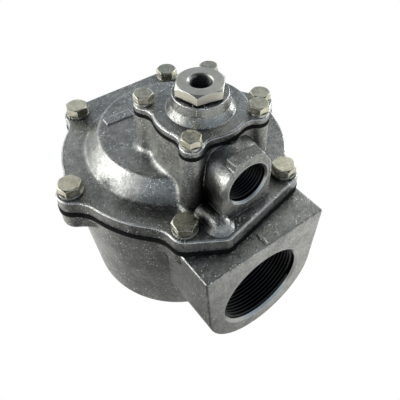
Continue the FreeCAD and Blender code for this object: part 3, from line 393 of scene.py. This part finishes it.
# Finishes
@dataclass(frozen=True)
class CastFinish:
    """Blasted die-cast aluminium: grainy grey with pale nicks and bright edges, with painted shade in its
    corners and valleys.

    A fade is the range of a value and, where they aren't 0 and 1, the results at its two ends. A valley is a
    place, its reach and its share of painted shade.
    """

    name: str = "blasted_aluminium"
    dark: tuple = (0.190, 0.190, 0.172)
    pale: tuple = (0.395, 0.395, 0.362)
    nick: tuple = (0.92, 0.93, 0.91)
    edge: tuple = (0.95, 0.95, 0.93)
    # Near-black colour of the painted shade in corners and valleys.
    painted_shade: tuple = (0.012, 0.012, 0.010)
    machined: tuple = (0.40, 0.41, 0.39)
    # Near black painted into the inlet and exhaust bores: painted shade deep in the ports.
    bore: tuple = (0.008, 0.008, 0.008)
    metallic: float = 0.90
    # Share of painted shade in the most closed-in corners.
    corner_shade_share: float = 0.96
    cloud: Grain = Grain(55.0)
    patch: Grain = Grain(260.0, shift=(0.31, 0.17, 0.05))
    grain: Grain = Grain(850.0, rough=0.7)
    tone_shares: tuple = (0.35, 0.25, 0.40)
    tone_fade: tuple = (0.38, 0.62)
    group: Grain = Grain(110.0, shift=(0.7, 0.2, 0.4))
    group_fade: tuple = (0.36, 0.60, 0.12, 1.0)
    spots: Grain = Grain(480.0)
    spot_fade: tuple = (0.10, 0.20, 0.85, 0.0)
    dots: Grain = Grain(820.0, shift=(0.13, 0.41, 0.09))
    dot_fade: tuple = (0.13, 0.27, 0.95, 0.0)
    edge_width: float = 0.0008
    edge_bend: tuple = (0.004, 0.07)
    ragged: Grain = Grain(420.0, 2.0, shift=(0.2, 0.9, 0.3))
    ragged_fade: tuple = (0.30, 0.60, 0.45, 1.0)
    # Reach and range of the painted shade in the corners; the reach also keeps the edge wear out of them.
    corner_reach: float = 0.024
    corner_range: tuple = (0.30, 0.86)
    open_fade: tuple = (0.45, 0.75)
    machined_margin: float = 0.0022
    machined_share: float = 0.85
    bore_margin: float = 0.0002
    bore_shade_share: float = 0.95
    matt: Grain = Grain(260.0, shift=(0.5, 0.1, 0.8))
    roughness: tuple = (0.24, 0.38)
    polish: float = 0.10
    skin_shares: tuple = (0.6, 0.4, -0.9)
    grit: float = 0.00042
    # Places of painted shade between the tower and the exhaust barrel, and along the tower's foot.
    valleys: tuple = (
        (0.0570, -0.0180, 0.1180, 0.0150, 0.95), (0.0600, -0.0180, 0.1270, 0.0120, 0.85),
        (0.0530, -0.0180, 0.1300, 0.0110, 0.80), (0.0600, -0.0190, 0.1090, 0.0110, 0.80),
        (0.0680, -0.0180, 0.1260, 0.0100, 0.60), (0.0435, -0.0391, 0.1060, 0.0110, 0.60),
        (0.0360, -0.0461, 0.1060, 0.0110, 0.60), (0.0275, -0.0517, 0.1060, 0.0100, 0.50))
    valley_core: float = 0.3

    def nicks(self, w: Surface) -> Socket:
        """Spreads pale nicks in loose groups, where the grit has struck.

        Args:
            w: The material that is being built.

        Returns:
            The share of nick at each place.
        """
        group = w.span(w.noise(self.group), *self.group_fade)
        spots = w.span(w.cells(self.spots), *self.spot_fade)
        dots = w.span(w.cells(self.dots), *self.dot_fade)
        return w.math("MULTIPLY", w.math("MAXIMUM", spots, dots), group)

    def with_painted_shade(self, w: Surface, body: Socket, open_air: Socket) -> Socket:
        """Paints shade into the corners and the valleys.

        Args:
            w: The material that is being built.
            body: Its colour so far.
            open_air: How open each place is.

        Returns:
            The colour with painted shade.
        """
        # Painted shade: the more closed in a place is, the more it takes the near-black shade colour.
        body = w.blended(w.span(open_air, *self.corner_range, self.corner_shade_share, 0.0), body, self.painted_shade)
        # Painted shade round each listed valley.
        for *place, reach, share in self.valleys:
            away = w.vector("DISTANCE", w.place, tuple(place))
            body = w.blended(w.span(away, self.valley_core * reach, reach, share, 0.0), body, self.painted_shade)
        return body

    def material(self) -> Look:
        """Builds the finish.

        Returns:
            The material.
        """
        w = Surface(self.name)
        cloud, patch, grain = w.noise(self.cloud), w.noise(self.patch), w.noise(self.grain)
        tone = w.weighted((cloud, patch, grain), self.tone_shares)
        body = w.blended(w.span(tone, *self.tone_fade), self.dark, self.pale)
        nicks = self.nicks(w)
        body = w.blended(nicks, body, self.nick)

        worn, soft = w.worn_edge(self.edge_width, *self.edge_bend)
        rub = w.math("MULTIPLY", worn, w.span(w.noise(self.ragged), *self.ragged_fade))
        open_air = w.hollow(self.corner_reach)
        body = self.with_painted_shade(w, body, open_air)
        body = w.blended(w.math("MULTIPLY", rub, w.span(open_air, *self.open_fade)), body, self.edge)

        turned = w.within_port(self.machined_margin)
        body = w.blended(w.math("MULTIPLY", turned, self.machined_share), body, self.machined)
        # Painted shade: the bores of the inlet and exhaust take the near-black colour.
        inside = w.within_port(self.bore_margin)
        body = w.blended(w.math("MULTIPLY", inside, self.bore_shade_share), body, self.bore)

        rough = w.span(w.noise(self.matt), *NOISE_BULK, *self.roughness)
        rough = w.weighted((rough, nicks, turned), (1.0, -self.polish, -self.polish))
        skin = w.weighted((grain, patch, nicks), self.skin_shares)
        skin = w.math("MULTIPLY", skin, w.math("SUBTRACT", 1.0, turned))
        return w.done(body, rough, w.relief(skin, self.grit, soft), self.metallic)


@dataclass(frozen=True)
class RubberFinish:
    """Moulded black rubber, dusty in patches, with a faint weave where it is wanted."""

    name: str
    weave: bool = False
    deep: tuple = (0.003, 0.003, 0.003)
    dusty: tuple = (0.014, 0.014, 0.013)
    dust: Grain = Grain(240.0, 4.0)
    dust_fade: tuple = (0.45, 0.80)
    dust_share: float = 0.6
    matt: Grain = Grain(320.0, 2.0, shift=(0.4, 0.4, 0.1))
    roughness: tuple = (0.62, 0.82)
    sheen: float = 0.10
    grain: Grain = Grain(2600.0, 2.0)
    grain_share: float = 0.5
    weave_scale: float = 480.0
    weave_share: float = 0.8
    grit: float = 0.00012

    def material(self) -> Look:
        """Builds the finish.

        Returns:
            The material.
        """
        w = Surface(self.name)
        dust = w.span(w.noise(self.dust), *self.dust_fade)
        grain = w.noise(self.grain)
        colour = w.blended(w.math("MULTIPLY", dust, self.dust_share), self.deep, self.dusty)
        rough = w.span(w.noise(self.matt), *NOISE_BULK, *self.roughness)
        skin = w.math("MULTIPLY", grain, self.grain_share)
        if self.weave:
            across, along = (w.bands(self.weave_scale, way) for way in "XY")
            threads = w.math("MAXIMUM", across, along)
            skin = w.math("ADD", skin, w.math("MULTIPLY", threads, self.weave_share))
        w.shader.inputs["Specular IOR Level"].default_value = self.sheen
        return w.done(colour, rough, w.relief(skin, self.grit), 0.0)


@dataclass(frozen=True)
class SteelFinish:
    """Steel with a thin plating: tinted, finely scratched, brighter on its edges, with painted shade in its
    corners.

    centre and rings give the turning marks, where there are some.
    """

    name: str
    base: tuple
    shade: tuple
    edge: tuple
    roughness: tuple = (0.22, 0.36)
    metallic: float = 1.0
    wear: float = 0.0004
    edge_bend: tuple = (0.01, 0.20)
    edge_share: float = 0.85
    blotch: Grain = Grain(220.0, 4.0)
    blotch_fade: tuple = (0.34, 0.70)
    scratch: Grain = Grain(900.0, shift=(0.1, 0.2, 0.3), stretch=(1.0, 0.12, 0.6))
    scratch_fade: tuple = (0.60, 0.80, 0.0, 0.5)
    # Reach, fade and level of the painted shade in the corners.
    corner_reach: float = 0.004
    corner_shade_fade: tuple = (0.30, 0.80, 0.65, 0.0)
    corner_shade_level: float = 0.18
    haze: Grain = Grain(600.0, shift=(0.6, 0.3, 0.2))
    pits: Grain = Grain(1100.0, 2.0)
    skin_share: float = 0.5
    grit: float = 0.000012
    centre: tuple | None = None
    rings: float = 0.0
    ring_shares: tuple = (0.4, 0.5)

    def material(self) -> Look:
        """Builds the finish.

        Returns:
            The material.
        """
        w = Surface(self.name)
        tone = w.span(w.noise(self.blotch), *self.blotch_fade)
        colour = w.blended(tone, self.base, self.shade)
        scratches = w.noise(self.scratch)
        colour = w.blended(w.span(scratches, *self.scratch_fade), colour, self.shade)
        worn, soft = w.worn_edge(self.wear, *self.edge_bend)
        colour = w.blended(w.math("MULTIPLY", worn, self.edge_share), colour, self.edge)
        # Painted shade: closed-in corners take a near-black copy of the shade colour.
        corner = w.span(w.hollow(self.corner_reach), *self.corner_shade_fade)
        colour = w.blended(corner, colour, tuple(self.corner_shade_level * part for part in self.shade))
        rough = w.span(w.noise(self.haze), *NOISE_BULK, *self.roughness)
        skin = w.math("MULTIPLY", w.math("ADD", scratches, w.noise(self.pits)), self.skin_share)
        if self.centre is not None:
            skin = w.weighted((skin, w.rings(self.rings, self.centre)), self.ring_shares)
        return w.done(colour, rough, w.relief(skin, self.grit, soft), self.metallic)


@dataclass(frozen=True)
class ThreadFinish:
    """Cut thread flanks in painted shade: paler crests over near-black roots, all painted dark as the shade
    deep in a bore.
    """

    name: str
    # Both colours are painted near black: painted shade deep in the bores.
    crest: tuple = (0.024, 0.024, 0.024)
    root: tuple = (0.004, 0.004, 0.004)
    metallic: float = 0.9
    root_reach: float = 0.0015
    root_fade: tuple = (0.35, 0.90)
    mottle: Grain = Grain(500.0)
    stain_fade: tuple = (0.55, 0.80, 0.0, 0.5)
    edge_width: float = 0.00012
    edge_bend: tuple = (0.02, 0.25)
    edge_share: float = 0.6
    edge_gain: float = 1.5
    roughness: tuple = (0.26, 0.40)
    grain: Grain = Grain(2200.0, 2.0)
    grit: float = 0.00002

    def material(self) -> Look:
        """Builds the finish.

        Returns:
            The material.
        """
        w = Surface(self.name)
        open_air = w.hollow(self.root_reach)
        mottled = w.noise(self.mottle)
        # Painted shade: roots that the AO finds closed in take the near-black root colour.
        colour = w.blended(w.span(open_air, *self.root_fade), self.root, self.crest)
        colour = w.blended(w.span(mottled, *self.stain_fade), colour, self.root)
        worn, soft = w.worn_edge(self.edge_width, *self.edge_bend)
        bright = tuple(min(1.0, self.edge_gain * part) for part in self.crest)
        colour = w.blended(w.math("MULTIPLY", worn, self.edge_share), colour, bright)
        rough = w.span(mottled, *NOISE_BULK, *self.roughness)
        return w.done(colour, rough, w.relief(w.noise(self.grain), self.grit, soft), self.metallic)


# Modelling moves
def clear_selection() -> None:
    """Leaves edit mode and deselects every object."""
    if bpy.context.object and bpy.context.object.mode != "OBJECT":
        bpy.ops.object.mode_set(mode="OBJECT")
    bpy.ops.object.select_all(action="DESELECT")


def activate(piece: Piece) -> None:
    """Makes one object the only selected and active one.

    Args:
        piece: The object.
    """
    clear_selection()
    piece.select_set(True)
    bpy.context.view_layer.objects.active = piece


def edit_all(piece: Piece) -> None:
    """Opens a mesh in edit mode with every vertex selected.

    Args:
        piece: The mesh.
    """
    activate(piece)
    bpy.ops.object.mode_set(mode="EDIT")
    bpy.ops.mesh.select_mode(type="VERT")
    bpy.ops.mesh.select_all(action="SELECT")


def settle(piece: Piece) -> None:
    """Puts an object's place, turn and scale into its mesh."""
    activate(piece)
    bpy.ops.object.transform_apply(location=True, rotation=True, scale=True)


def facing_out(piece: Piece) -> None:
    """Merges doubles, closes open ends and turns every face outwards.

    Args:
        piece: The mesh that is mended.
    """
    edit_all(piece)
    bpy.ops.mesh.remove_doubles(threshold=MERGE_REACH)
    bpy.ops.mesh.select_all(action="DESELECT")
    bpy.ops.mesh.select_non_manifold()
    bpy.ops.mesh.fill_holes(sides=0)
    bpy.ops.mesh.select_all(action="SELECT")
    bpy.ops.mesh.normals_make_consistent(inside=False)
    bpy.ops.object.mode_set(mode="OBJECT")


def apply_modifier(piece: Piece, kind: str, **settings: object) -> None:
    """Adds a modifier, sets it and applies it.

    Args:
        piece: The mesh that is changed.
        kind: The modifier's type.
        settings: Its settings.
    """
    activate(piece)
    made = piece.modifiers.new(kind.lower(), kind)
    for key, value in settings.items():
        setattr(made, key, value)
    bpy.ops.object.modifier_apply(modifier=made.name)


def round_edges(piece: Piece, width: float, degrees: float) -> None:
    """Rounds the edges of a mesh that are sharper than an angle.

    Args:
        piece: The mesh that is changed.
        width: Width of the rounded band.
        degrees: The angle.
    """
    apply_modifier(
        piece, "BEVEL", width=width, segments=BEVEL_SEGMENTS, limit_method="ANGLE",
        angle_limit=math.radians(degrees), use_clamp_overlap=True)


def outline(corners: tuple) -> Piece:
    """Draws a closed line in the XZ plane.

    Args:
        corners: Radius and height of each corner.

    Returns:
        The line, as a mesh with no faces.
    """
    clear_selection()
    bpy.ops.mesh.primitive_circle_add(vertices=len(corners), location=(0.0, 0.0, 0.0))
    piece = bpy.context.object
    for vertex, (radius, height) in zip(piece.data.vertices, corners):
        vertex.co = (radius, 0.0, height)
    return piece


def wound(corners: tuple, turns: float, pitch: float, steps: int) -> Piece:
    """Winds a flat profile round the Z axis.

    Args:
        corners: Radius and height of each corner of the profile.
        turns: How many turns, of which a last part may be less than one.
        pitch: Rise of each turn.
        steps: Divisions of a turn.

    Returns:
        The wound, closed mesh.
    """
    piece = outline(corners)
    whole = max(1, int(turns))
    apply_modifier(
        piece, "SCREW", axis="Z", angle=2 * math.pi * turns / whole, screw_offset=pitch * turns / whole,
        iterations=whole, steps=steps, render_steps=steps, use_merge_vertices=False, use_smooth_shade=True)
    facing_out(piece)
    return piece


def ring_of(stations: tuple, steps: int, centre: tuple) -> Piece:
    """Spins an outline of stations, from outside to inside, into a closed ring.

    Args:
        stations: Radius, foot and top of each station.
        steps: Divisions of the turn.
        centre: Where the ring's axis stands.

    Returns:
        The closed ring.
    """
    upper = [(radius, top) for radius, _, top in stations]
    lower = [(radius, foot) for radius, foot, _ in reversed(stations)]
    piece = outline((*upper, *lower))
    edit_all(piece)
    bpy.ops.mesh.spin(steps=steps, angle=2 * math.pi, center=(0.0, 0.0, 0.0), axis=(0.0, 0.0, 1.0))
    bpy.ops.object.mode_set(mode="OBJECT")
    facing_out(piece)
    piece.location = (*centre, 0.0)
    settle(piece)
    return piece


def hand_in(piece: Piece, name: str, look: Look, body: str, degrees: float) -> Piece:
    """Names a finished piece, dresses it, shades it smooth and sets what it moves with.

    Args:
        piece: The finished mesh.
        name: Its name.
        look: Its material.
        body: The CAD body that carries it.
        degrees: Angle up to which it is shaded smooth.

    Returns:
        The piece.
    """
    piece.name = name
    piece.data.name = name
    piece.data.materials.clear()
    piece.data.materials.append(look)
    activate(piece)
    bpy.ops.object.shade_smooth_by_angle(angle=math.radians(degrees))
    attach(piece, body)
    LOG.info("%s: %d faces, on %s", name, len(piece.data.polygons), body)
    return piece


def dress_nodes(names: tuple, look: Look) -> None:
    """Puts one material on CAD nodes.

    Args:
        names: The nodes' names.
        look: The material.
    """
    for name in names:
        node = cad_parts[name]
        if not node.material_slots:
            node.data.materials.append(look)
        for slot in node.material_slots:
            slot.material = look
    LOG.info("%s on %d nodes", look.name, len(names))


def numbered(name: str, count: int) -> tuple:
    """Returns the names of a row of like nodes, which are numbered from 1."""
    return tuple(f"{name}_{number}" for number in range(1, count + 1))


# Sub-assemblies
@dataclass
class Castings:
    """The three castings, which keep their CAD shape."""

    # The bonnet takes full painted shade; the body and cover take less.
    full_shade_nodes: tuple = ("bonnet",)
    less_shade_nodes: tuple = ("valve_body", "pilot_cover")

    def dress(self, with_painted_shade: Look, less_painted_shade: Look) -> None:
        """Gives the bonnet the finish with full painted shade, and the body and cover the one with less."""
        dress_nodes(self.full_shade_nodes, with_painted_shade)
        dress_nodes(self.less_shade_nodes, less_painted_shade)


@dataclass
class Hardware:
    """Bolts, washers, fitting and the clamped plates, which keep their CAD shape."""

    bolts: tuple = numbered("main_bolt", 6) + numbered("pilot_bolt", 4)
    washers: tuple = numbered("main_lock_washer", 6) + numbered("pilot_lock_washer", 4)
    plates: tuple = (
        "main_top_plate", "main_seat_plate", "main_plate_nut", "main_plate_screw", "pilot_top_plate",
        "pilot_back_plate", "pilot_rivet")
    fitting: tuple = ("pilot_fitting",)
    seal: tuple = ("fitting_washer",)

    def dress(self, looks: dict) -> None:
        """Gives each kind its finish.

        Args:
            looks: The material of each kind, by the kind's name.
        """
        for kind in ("bolts", "washers", "plates", "fitting", "seal"):
            dress_nodes(getattr(self, kind), looks[kind])


@dataclass
class PortThreads:
    """The cut threads of the four ports, as ridges that stand in the plain bores.

    The ridge's foot and crest are shares of the pitch, to each side of its middle.
    """

    ports: tuple = (OUTLET, INLET, EXHAUST, PILOT)
    steps: int = 64
    foot_share: float = 0.48
    crest_share: float = 0.10
    buried: float = 0.0001
    smoothing: float = 30.0

    def ridge(self, thread: PipeThread, length: float) -> Piece:
        """Winds one thread that rises from the origin along +Z.

        Args:
            thread: Its sizes.
            length: Its length.

        Returns:
            The wound ridge.
        """
        half = thread.pitch * self.foot_share
        tip = thread.pitch * self.crest_share
        hidden = thread.wall + self.buried
        corners = ((hidden, -half), (hidden, half), (thread.crest, tip), (thread.crest, -tip))
        piece = wound(corners, (length - thread.pitch) / thread.pitch, thread.pitch, self.steps)
        piece.location = (0.0, 0.0, half)
        settle(piece)
        return piece

    def build(self, looks: dict) -> None:
        """Builds each thread and sets it in its port.

        Args:
            looks: The material for each slot.
        """
        for port in self.ports:
            piece = self.ridge(port.thread, port.length)
            if port.way is Axis.ALONG_X:
                piece.rotation_euler = (0.0, math.pi / 2, 0.0)
            piece.location = port.foot
            settle(piece)
            hand_in(piece, port.name, looks[port.slot], CASING, self.smoothing)


@dataclass
class SoftPart:
    """What a rubber or spring part of one stage shares: its stage, axis, joint and the joint's lift."""

    stage: str
    centre: tuple
    joint: str
    lift: float


# Both stages, as the fields of SoftPart.
MAIN_STAGE = ("main", MAIN_AXIS, "main_lift", 0.008)
PILOT_STAGE = ("pilot", PILOT_AXIS, "pilot_lift", 0.003)


@dataclass
class Diaphragm(SoftPart):
    """One rubber diaphragm, as a clamped rim, a rolling web and a clamped centre.

    Each station of the web is a radius, a foot and a top. The disc lies between the two disc_heights.
    """

    carrier: str
    clamp_radius: float
    clamp_height: float
    web: tuple
    disc_radii: tuple
    disc_heights: tuple
    steps: int = 120
    cutter_depth: float = 0.06
    solid_merge_reach: float = 2e-6
    rim_rounding: tuple = (0.00035, 50.0)
    web_rounding: tuple = (0.0004, 25.0)
    disc_rounding: tuple = (0.0003, 50.0)
    clamped_smoothing: float = 40.0
    web_smoothing: float = 50.0

    def rim(self, node: Piece) -> Piece:
        """Cuts the clamped rim from a copy of the solid and rounds its moulded edges.

        Args:
            node: The plain solid.

        Returns:
            The rim.
        """
        piece = node.copy()
        piece.data = node.data.copy()
        piece.parent = None
        bpy.context.scene.collection.objects.link(piece)
        edit_all(piece)
        bpy.ops.mesh.remove_doubles(threshold=self.solid_merge_reach)
        clear_selection()
        bpy.ops.mesh.primitive_cylinder_add(
            vertices=self.steps, radius=self.clamp_radius, depth=self.cutter_depth,
            location=(*self.centre, self.clamp_height))
        core = bpy.context.object
        settle(core)
        apply_modifier(piece, "BOOLEAN", operation="DIFFERENCE", solver="EXACT", object=core)
        bpy.data.objects.remove(core)
        round_edges(piece, *self.rim_rounding)
        return piece

    def build(self, rubber: Look, woven: Look) -> None:
        """Builds the three pieces in place of the plain solid.

        Args:
            rubber: Material of the rim and the centre.
            woven: Material of the web.
        """
        name = f"{self.stage}_diaphragm"
        rim = self.rim(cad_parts[name])
        hand_in(rim, name + "_rim", rubber, CASING, self.clamped_smoothing)
        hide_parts(name)

        web = ring_of(self.web, self.steps, self.centre)
        round_edges(web, *self.web_rounding)
        hand_in(web, name + "_web", woven, CASING, self.web_smoothing)
        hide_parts(name)
        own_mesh(web)

        middle = tuple((radius, *self.disc_heights) for radius in self.disc_radii)
        disc = ring_of(middle, self.steps, self.centre)
        round_edges(disc, *self.disc_rounding)
        hand_in(disc, name + "_centre", rubber, self.carrier, self.clamped_smoothing)
        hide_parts(name)


@dataclass
class ClosingSpring(SoftPart):
    """A compression spring of round wire, with ground ends.

    end_share is the height of the wire's middle over the spring's foot, in radii of the wire.
    """

    radius: float
    wire: float
    foot: float
    top: float
    turns: float = 5.0
    sides: int = 10
    steps: int = 48
    end_share: float = 0.6
    ground: float = 0.00002
    smoothing: float = 50.0

    def grind(self, coil: Piece, height: float, upper: bool) -> None:
        """Cuts one end of the coil flat and closes it.

        Args:
            coil: The coil.
            height: Height of the cut.
            upper: Whether what lies above the cut goes, and not what lies below.
        """
        edit_all(coil)
        bpy.ops.mesh.bisect(
            plane_co=(0.0, 0.0, height), plane_no=(0.0, 0.0, 1.0), use_fill=True,
            clear_outer=upper, clear_inner=not upper)
        bpy.ops.object.mode_set(mode="OBJECT")

    def build(self, steel: Look) -> None:
        """Builds the spring in place of the plain solid.

        Args:
            steel: Material of the wire.
        """
        name = f"{self.stage}_spring"
        circle = tuple(
            (self.radius + self.wire * math.cos(turn), self.wire * math.sin(turn))
            for turn in (2 * math.pi * number / self.sides for number in range(self.sides))
        )
        end = self.end_share * self.wire
        rise = self.top - self.foot - 2 * end
        coil = wound(circle, self.turns, rise / self.turns, self.steps)
        coil.location = (*self.centre, self.foot + end)
        settle(coil)
        self.grind(coil, self.foot + self.ground, upper=False)
        self.grind(coil, self.top - self.ground, upper=True)
        hand_in(coil, name + "_coil", steel, CASING, self.smoothing)
        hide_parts(name)
        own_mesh(coil)


# Stage
@dataclass(frozen=True)
class Card:
    """A pale patch of the surround: where it hangs, how wide it spreads, in degrees, and how bright it is.

    It is full within core, a share of its spread, and fades out from there.
    """

    turn: float
    rise: float
    spread: float
    strength: float
    core: float = 0.45

    def way(self) -> tuple:
        """Returns the direction of its middle."""
        turn, rise = math.radians(self.turn), math.radians(self.rise)
        return (math.cos(turn) * math.cos(rise), math.sin(turn) * math.cos(rise), math.sin(rise))


@dataclass(frozen=True)
class Softbox:
    """A round, soft lamp: its place, width, power and colour."""

    name: str
    at: tuple
    size: float
    power: float
    colour: tuple

    def hang(self, target: tuple) -> None:
        """Hangs the lamp.

        Args:
            target: The point that it looks at.
        """
        light = bpy.data.lights.new(self.name, "AREA")
        light.shape = "DISK"
        light.size = self.size
        light.energy = self.power
        light.color = self.colour
        lamp = bpy.data.objects.new(self.name, light)
        bpy.context.scene.collection.objects.link(lamp)
        aim = Vector(target) - Vector(self.at)
        lamp.matrix_world = Matrix.Translation(self.at) @ aim.to_track_quat("-Z", "Y").to_matrix().to_4x4()


@dataclass
class Studio:
    """Plain pale floor, soft light and the camera at the photograph's angle.

    The camera's turn, rise and roll are in degrees, its lens and sensor in millimetres. The floor's shade is
    where it starts and ends round its place, and the floor's level in it and outside it. Each of the heights
    is a place on the way from the horizon to overhead and its level of grey, before the tint.
    """

    turn: float = 51.34
    rise: float = 47.01
    roll: float = 1.05
    place: tuple = (0.19936, -0.12402, 0.31169)
    lens: float = 43.73
    sensor: float = 36.0
    shift: tuple = (-0.0428, -0.0300)
    clip: tuple = (0.01, 100.0)
    floor_size: float = 40.0
    floor_drop: float = 0.0002
    shade_place: tuple = (0.11, -0.14, 0.0)
    shade: tuple = (0.05, 0.20, 0.03, 1.0)
    heights: tuple = (
        (0.0, 0.90), (0.30, 0.72), (0.56, 0.30), (0.66, 0.05), (0.82, 0.015), (0.90, 0.05), (1.0, 0.24))
    tint: tuple = (0.86, 1.0, 1.20)
    cards: tuple = (
        Card(181.0, 36.0, 25.0, 0.85), Card(108.0, 46.0, 25.0, 1.3), Card(216.0, 12.0, 30.0, 1.5),
        Card(250.0, 14.0, 30.0, 1.8))
    lamps: tuple = (
        Softbox("left_softbox", (-0.50, -0.84, 0.20), 0.60, 4.6, (1.0, 0.99, 0.97)),
        Softbox("right_softbox", (0.05, 0.95, 0.16), 0.40, 4.0, (0.97, 0.99, 1.0)))
    target: tuple = (0.01, 0.0, 0.09)

    def camera(self) -> None:
        """Sets the camera."""
        a, e, r = (math.radians(value) for value in (self.turn, self.rise, self.roll))
        back = Vector((math.sin(a) * math.cos(e), -math.cos(a) * math.cos(e), math.sin(e)))
        level = Vector((math.cos(a), math.sin(a), 0.0))
        upright = back.cross(level)
        right = level * math.cos(r) + upright * math.sin(r)
        up = upright * math.cos(r) - level * math.sin(r)
        lens = bpy.data.cameras.new("camera")
        lens.sensor_width, lens.lens = self.sensor, self.lens
        lens.shift_x, lens.shift_y = self.shift
        lens.clip_start, lens.clip_end = self.clip
        camera = bpy.data.objects.new("camera", lens)
        bpy.context.scene.collection.objects.link(camera)
        turned = Matrix((right, up, back)).transposed().to_4x4()
        camera.matrix_world = Matrix.Translation(self.place) @ turned
        bpy.context.scene.camera = camera

    def floor(self) -> None:
        """Lays the floor: white to the camera, with a shaded place in front of the part in reflections."""
        clear_selection()
        bpy.ops.mesh.primitive_plane_add(size=self.floor_size, location=(0.0, 0.0, -self.floor_drop))
        floor = bpy.context.object
        floor.name = "floor"
        settle(floor)
        look = bpy.data.materials.new("floor_white")
        look.use_nodes = True
        w = Wiring(look.node_tree)
        w.tree.nodes.clear()
        away = w.vector("DISTANCE", w.node("ShaderNodeTexCoord").outputs["Object"], self.shade_place)
        level = w.math("MAXIMUM", w.camera_ray(), w.span(away, *self.shade))
        glow = w.node("ShaderNodeEmission", {"Strength": level})
        w.node("ShaderNodeOutputMaterial", {"Surface": glow.outputs[0]})
        floor.data.materials.append(look)

    def sky(self) -> None:
        """Sets the soft surround: pale near the horizon, dark overhead, with paler cards round it."""
        world = bpy.data.worlds.new("surround")
        bpy.context.scene.world = world
        world.use_nodes = True
        w = Wiring(world.node_tree)
        way = w.node("ShaderNodeTexCoord").outputs["Generated"]
        parts = w.node("ShaderNodeSeparateXYZ", {0: way}).outputs
        level = w.node("ShaderNodeValToRGB", {0: parts[2]})
        level.color_ramp.interpolation = "EASE"
        ramp = level.color_ramp.elements
        while len(ramp) < len(self.heights):
            ramp.new(0.5)
        for stop, (where, grey) in zip(ramp, self.heights):
            stop.position = where
            stop.color = (*(grey * part for part in self.tint), 1.0)
        total = level.outputs[0]
        for card in self.cards:
            near = w.vector("DOT_PRODUCT", way, card.way())
            rim, core = (math.cos(math.radians(spread)) for spread in (card.spread, card.spread * card.core))
            total = w.vector("ADD", total, w.span(near, rim, core, top=card.strength), "Vector")
        shown = w.blended(w.camera_ray(), total, (1.0, 1.0, 1.0))
        w.feed(w.tree.nodes["Background"].inputs["Color"], shown)

    def build(self) -> None:
        """Sets the whole stage."""
        bpy.context.scene.view_settings.view_transform = "Standard"
        self.camera()
        self.floor()
        self.sky()
        for lamp in self.lamps:
            lamp.hang(self.target)


def hardware_looks() -> dict:
    """Makes the finishes of the hardware.

    Returns:
        The material of each kind, by the kind's name.
    """
    return {
        "bolts": SteelFinish(
            "bolt_plating", (0.66, 0.63, 0.50), (0.47, 0.45, 0.34), (0.92, 0.90, 0.78)).material(),
        "washers": SteelFinish(
            "washer_plating", (0.62, 0.61, 0.54), (0.40, 0.40, 0.34), (0.88, 0.88, 0.83)).material(),
        "plates": SteelFinish(
            "plate_stainless", (0.50, 0.50, 0.49), (0.38, 0.38, 0.37), (0.75, 0.75, 0.74),
            roughness=(0.2, 0.3)).material(),
        "fitting": SteelFinish(
            "fitting_plating", (0.72, 0.69, 0.59), (0.62, 0.59, 0.50), (0.86, 0.86, 0.80),
            roughness=(0.30, 0.40), centre=PILOT_AXIS, rings=900.0).material(),
        "seal": RubberFinish("seal_rubber").material(),
    }


def build_diaphragms() -> None:
    """Builds the two diaphragms."""
    rubber = RubberFinish("moulded_rubber").material()
    woven = RubberFinish("reinforced_rubber", weave=True).material()
    Diaphragm(
        *MAIN_STAGE,
        carrier="main_centre",
        clamp_radius=0.0572,
        clamp_height=0.0961,
        web=(
            (0.0572, 0.0926, 0.0961), (0.0552, 0.0922, 0.0956), (0.0520, 0.0900, 0.0930),
            (0.0470, 0.0870, 0.0898), (0.0420, 0.0846, 0.0873), (0.0390, 0.0832, 0.0861),
            (0.0379, 0.0830, 0.0860)),
        disc_radii=(0.0380, 0.0200, 0.0043),
        disc_heights=(0.0830, 0.0860),
    ).build(rubber, woven)
    Diaphragm(
        *PILOT_STAGE,
        carrier="pilot_centre",
        clamp_radius=0.0216,
        clamp_height=0.1462,
        web=(
            (0.0216, 0.1439, 0.1462), (0.0205, 0.1437, 0.1459), (0.0185, 0.1424, 0.1443),
            (0.0160, 0.1402, 0.1421), (0.0147, 0.1395, 0.1415), (0.0141, 0.1394, 0.1414)),
        disc_radii=(0.0142, 0.0080, 0.0023),
        disc_heights=(0.1394, 0.1414),
        steps=80,
    ).build(rubber, woven)


def build_springs() -> None:
    """Builds the two closing springs."""
    wire = SteelFinish(
        "spring_wire", (0.48, 0.48, 0.47), (0.33, 0.33, 0.32), (0.75, 0.75, 0.74),
        roughness=(0.22, 0.34), wear=0.0001).material()
    ClosingSpring(*MAIN_STAGE, radius=0.0140, wire=0.0011, foot=0.0885, top=0.1125).build(wire)
    ClosingSpring(*PILOT_STAGE, radius=0.0098, wire=0.0006, foot=0.1429, top=0.1545).build(wire)


def main() -> None:
    """Builds the looks in order."""
    logging.basicConfig(level=logging.INFO, format="%(message)s")
    # The two cast finishes differ in painted shade only: the second has less in its corners and none in the
    # valleys.
    with_painted_shade = CastFinish().material()
    less_painted_shade = CastFinish("blasted_aluminium_wiped", corner_shade_share=0.50, valleys=()).material()
    Castings().dress(with_painted_shade, less_painted_shade)
    Hardware().dress(hardware_looks())
    cut_aluminium = ThreadFinish("cut_thread_aluminium").material()
    # The steel thread is painted dark too: painted shade deep in the pilot port.
    cut_steel = ThreadFinish(
        "cut_thread_steel", crest=(0.16, 0.16, 0.15), root=(0.006, 0.006, 0.006), metallic=1.0).material()
    PortThreads().build({Slot.CASTING: cut_aluminium, Slot.PLATED: cut_steel})
    build_diaphragms()
    build_springs()

    Studio().build()
    clear_selection()


if __name__ == "__main__":
    main()
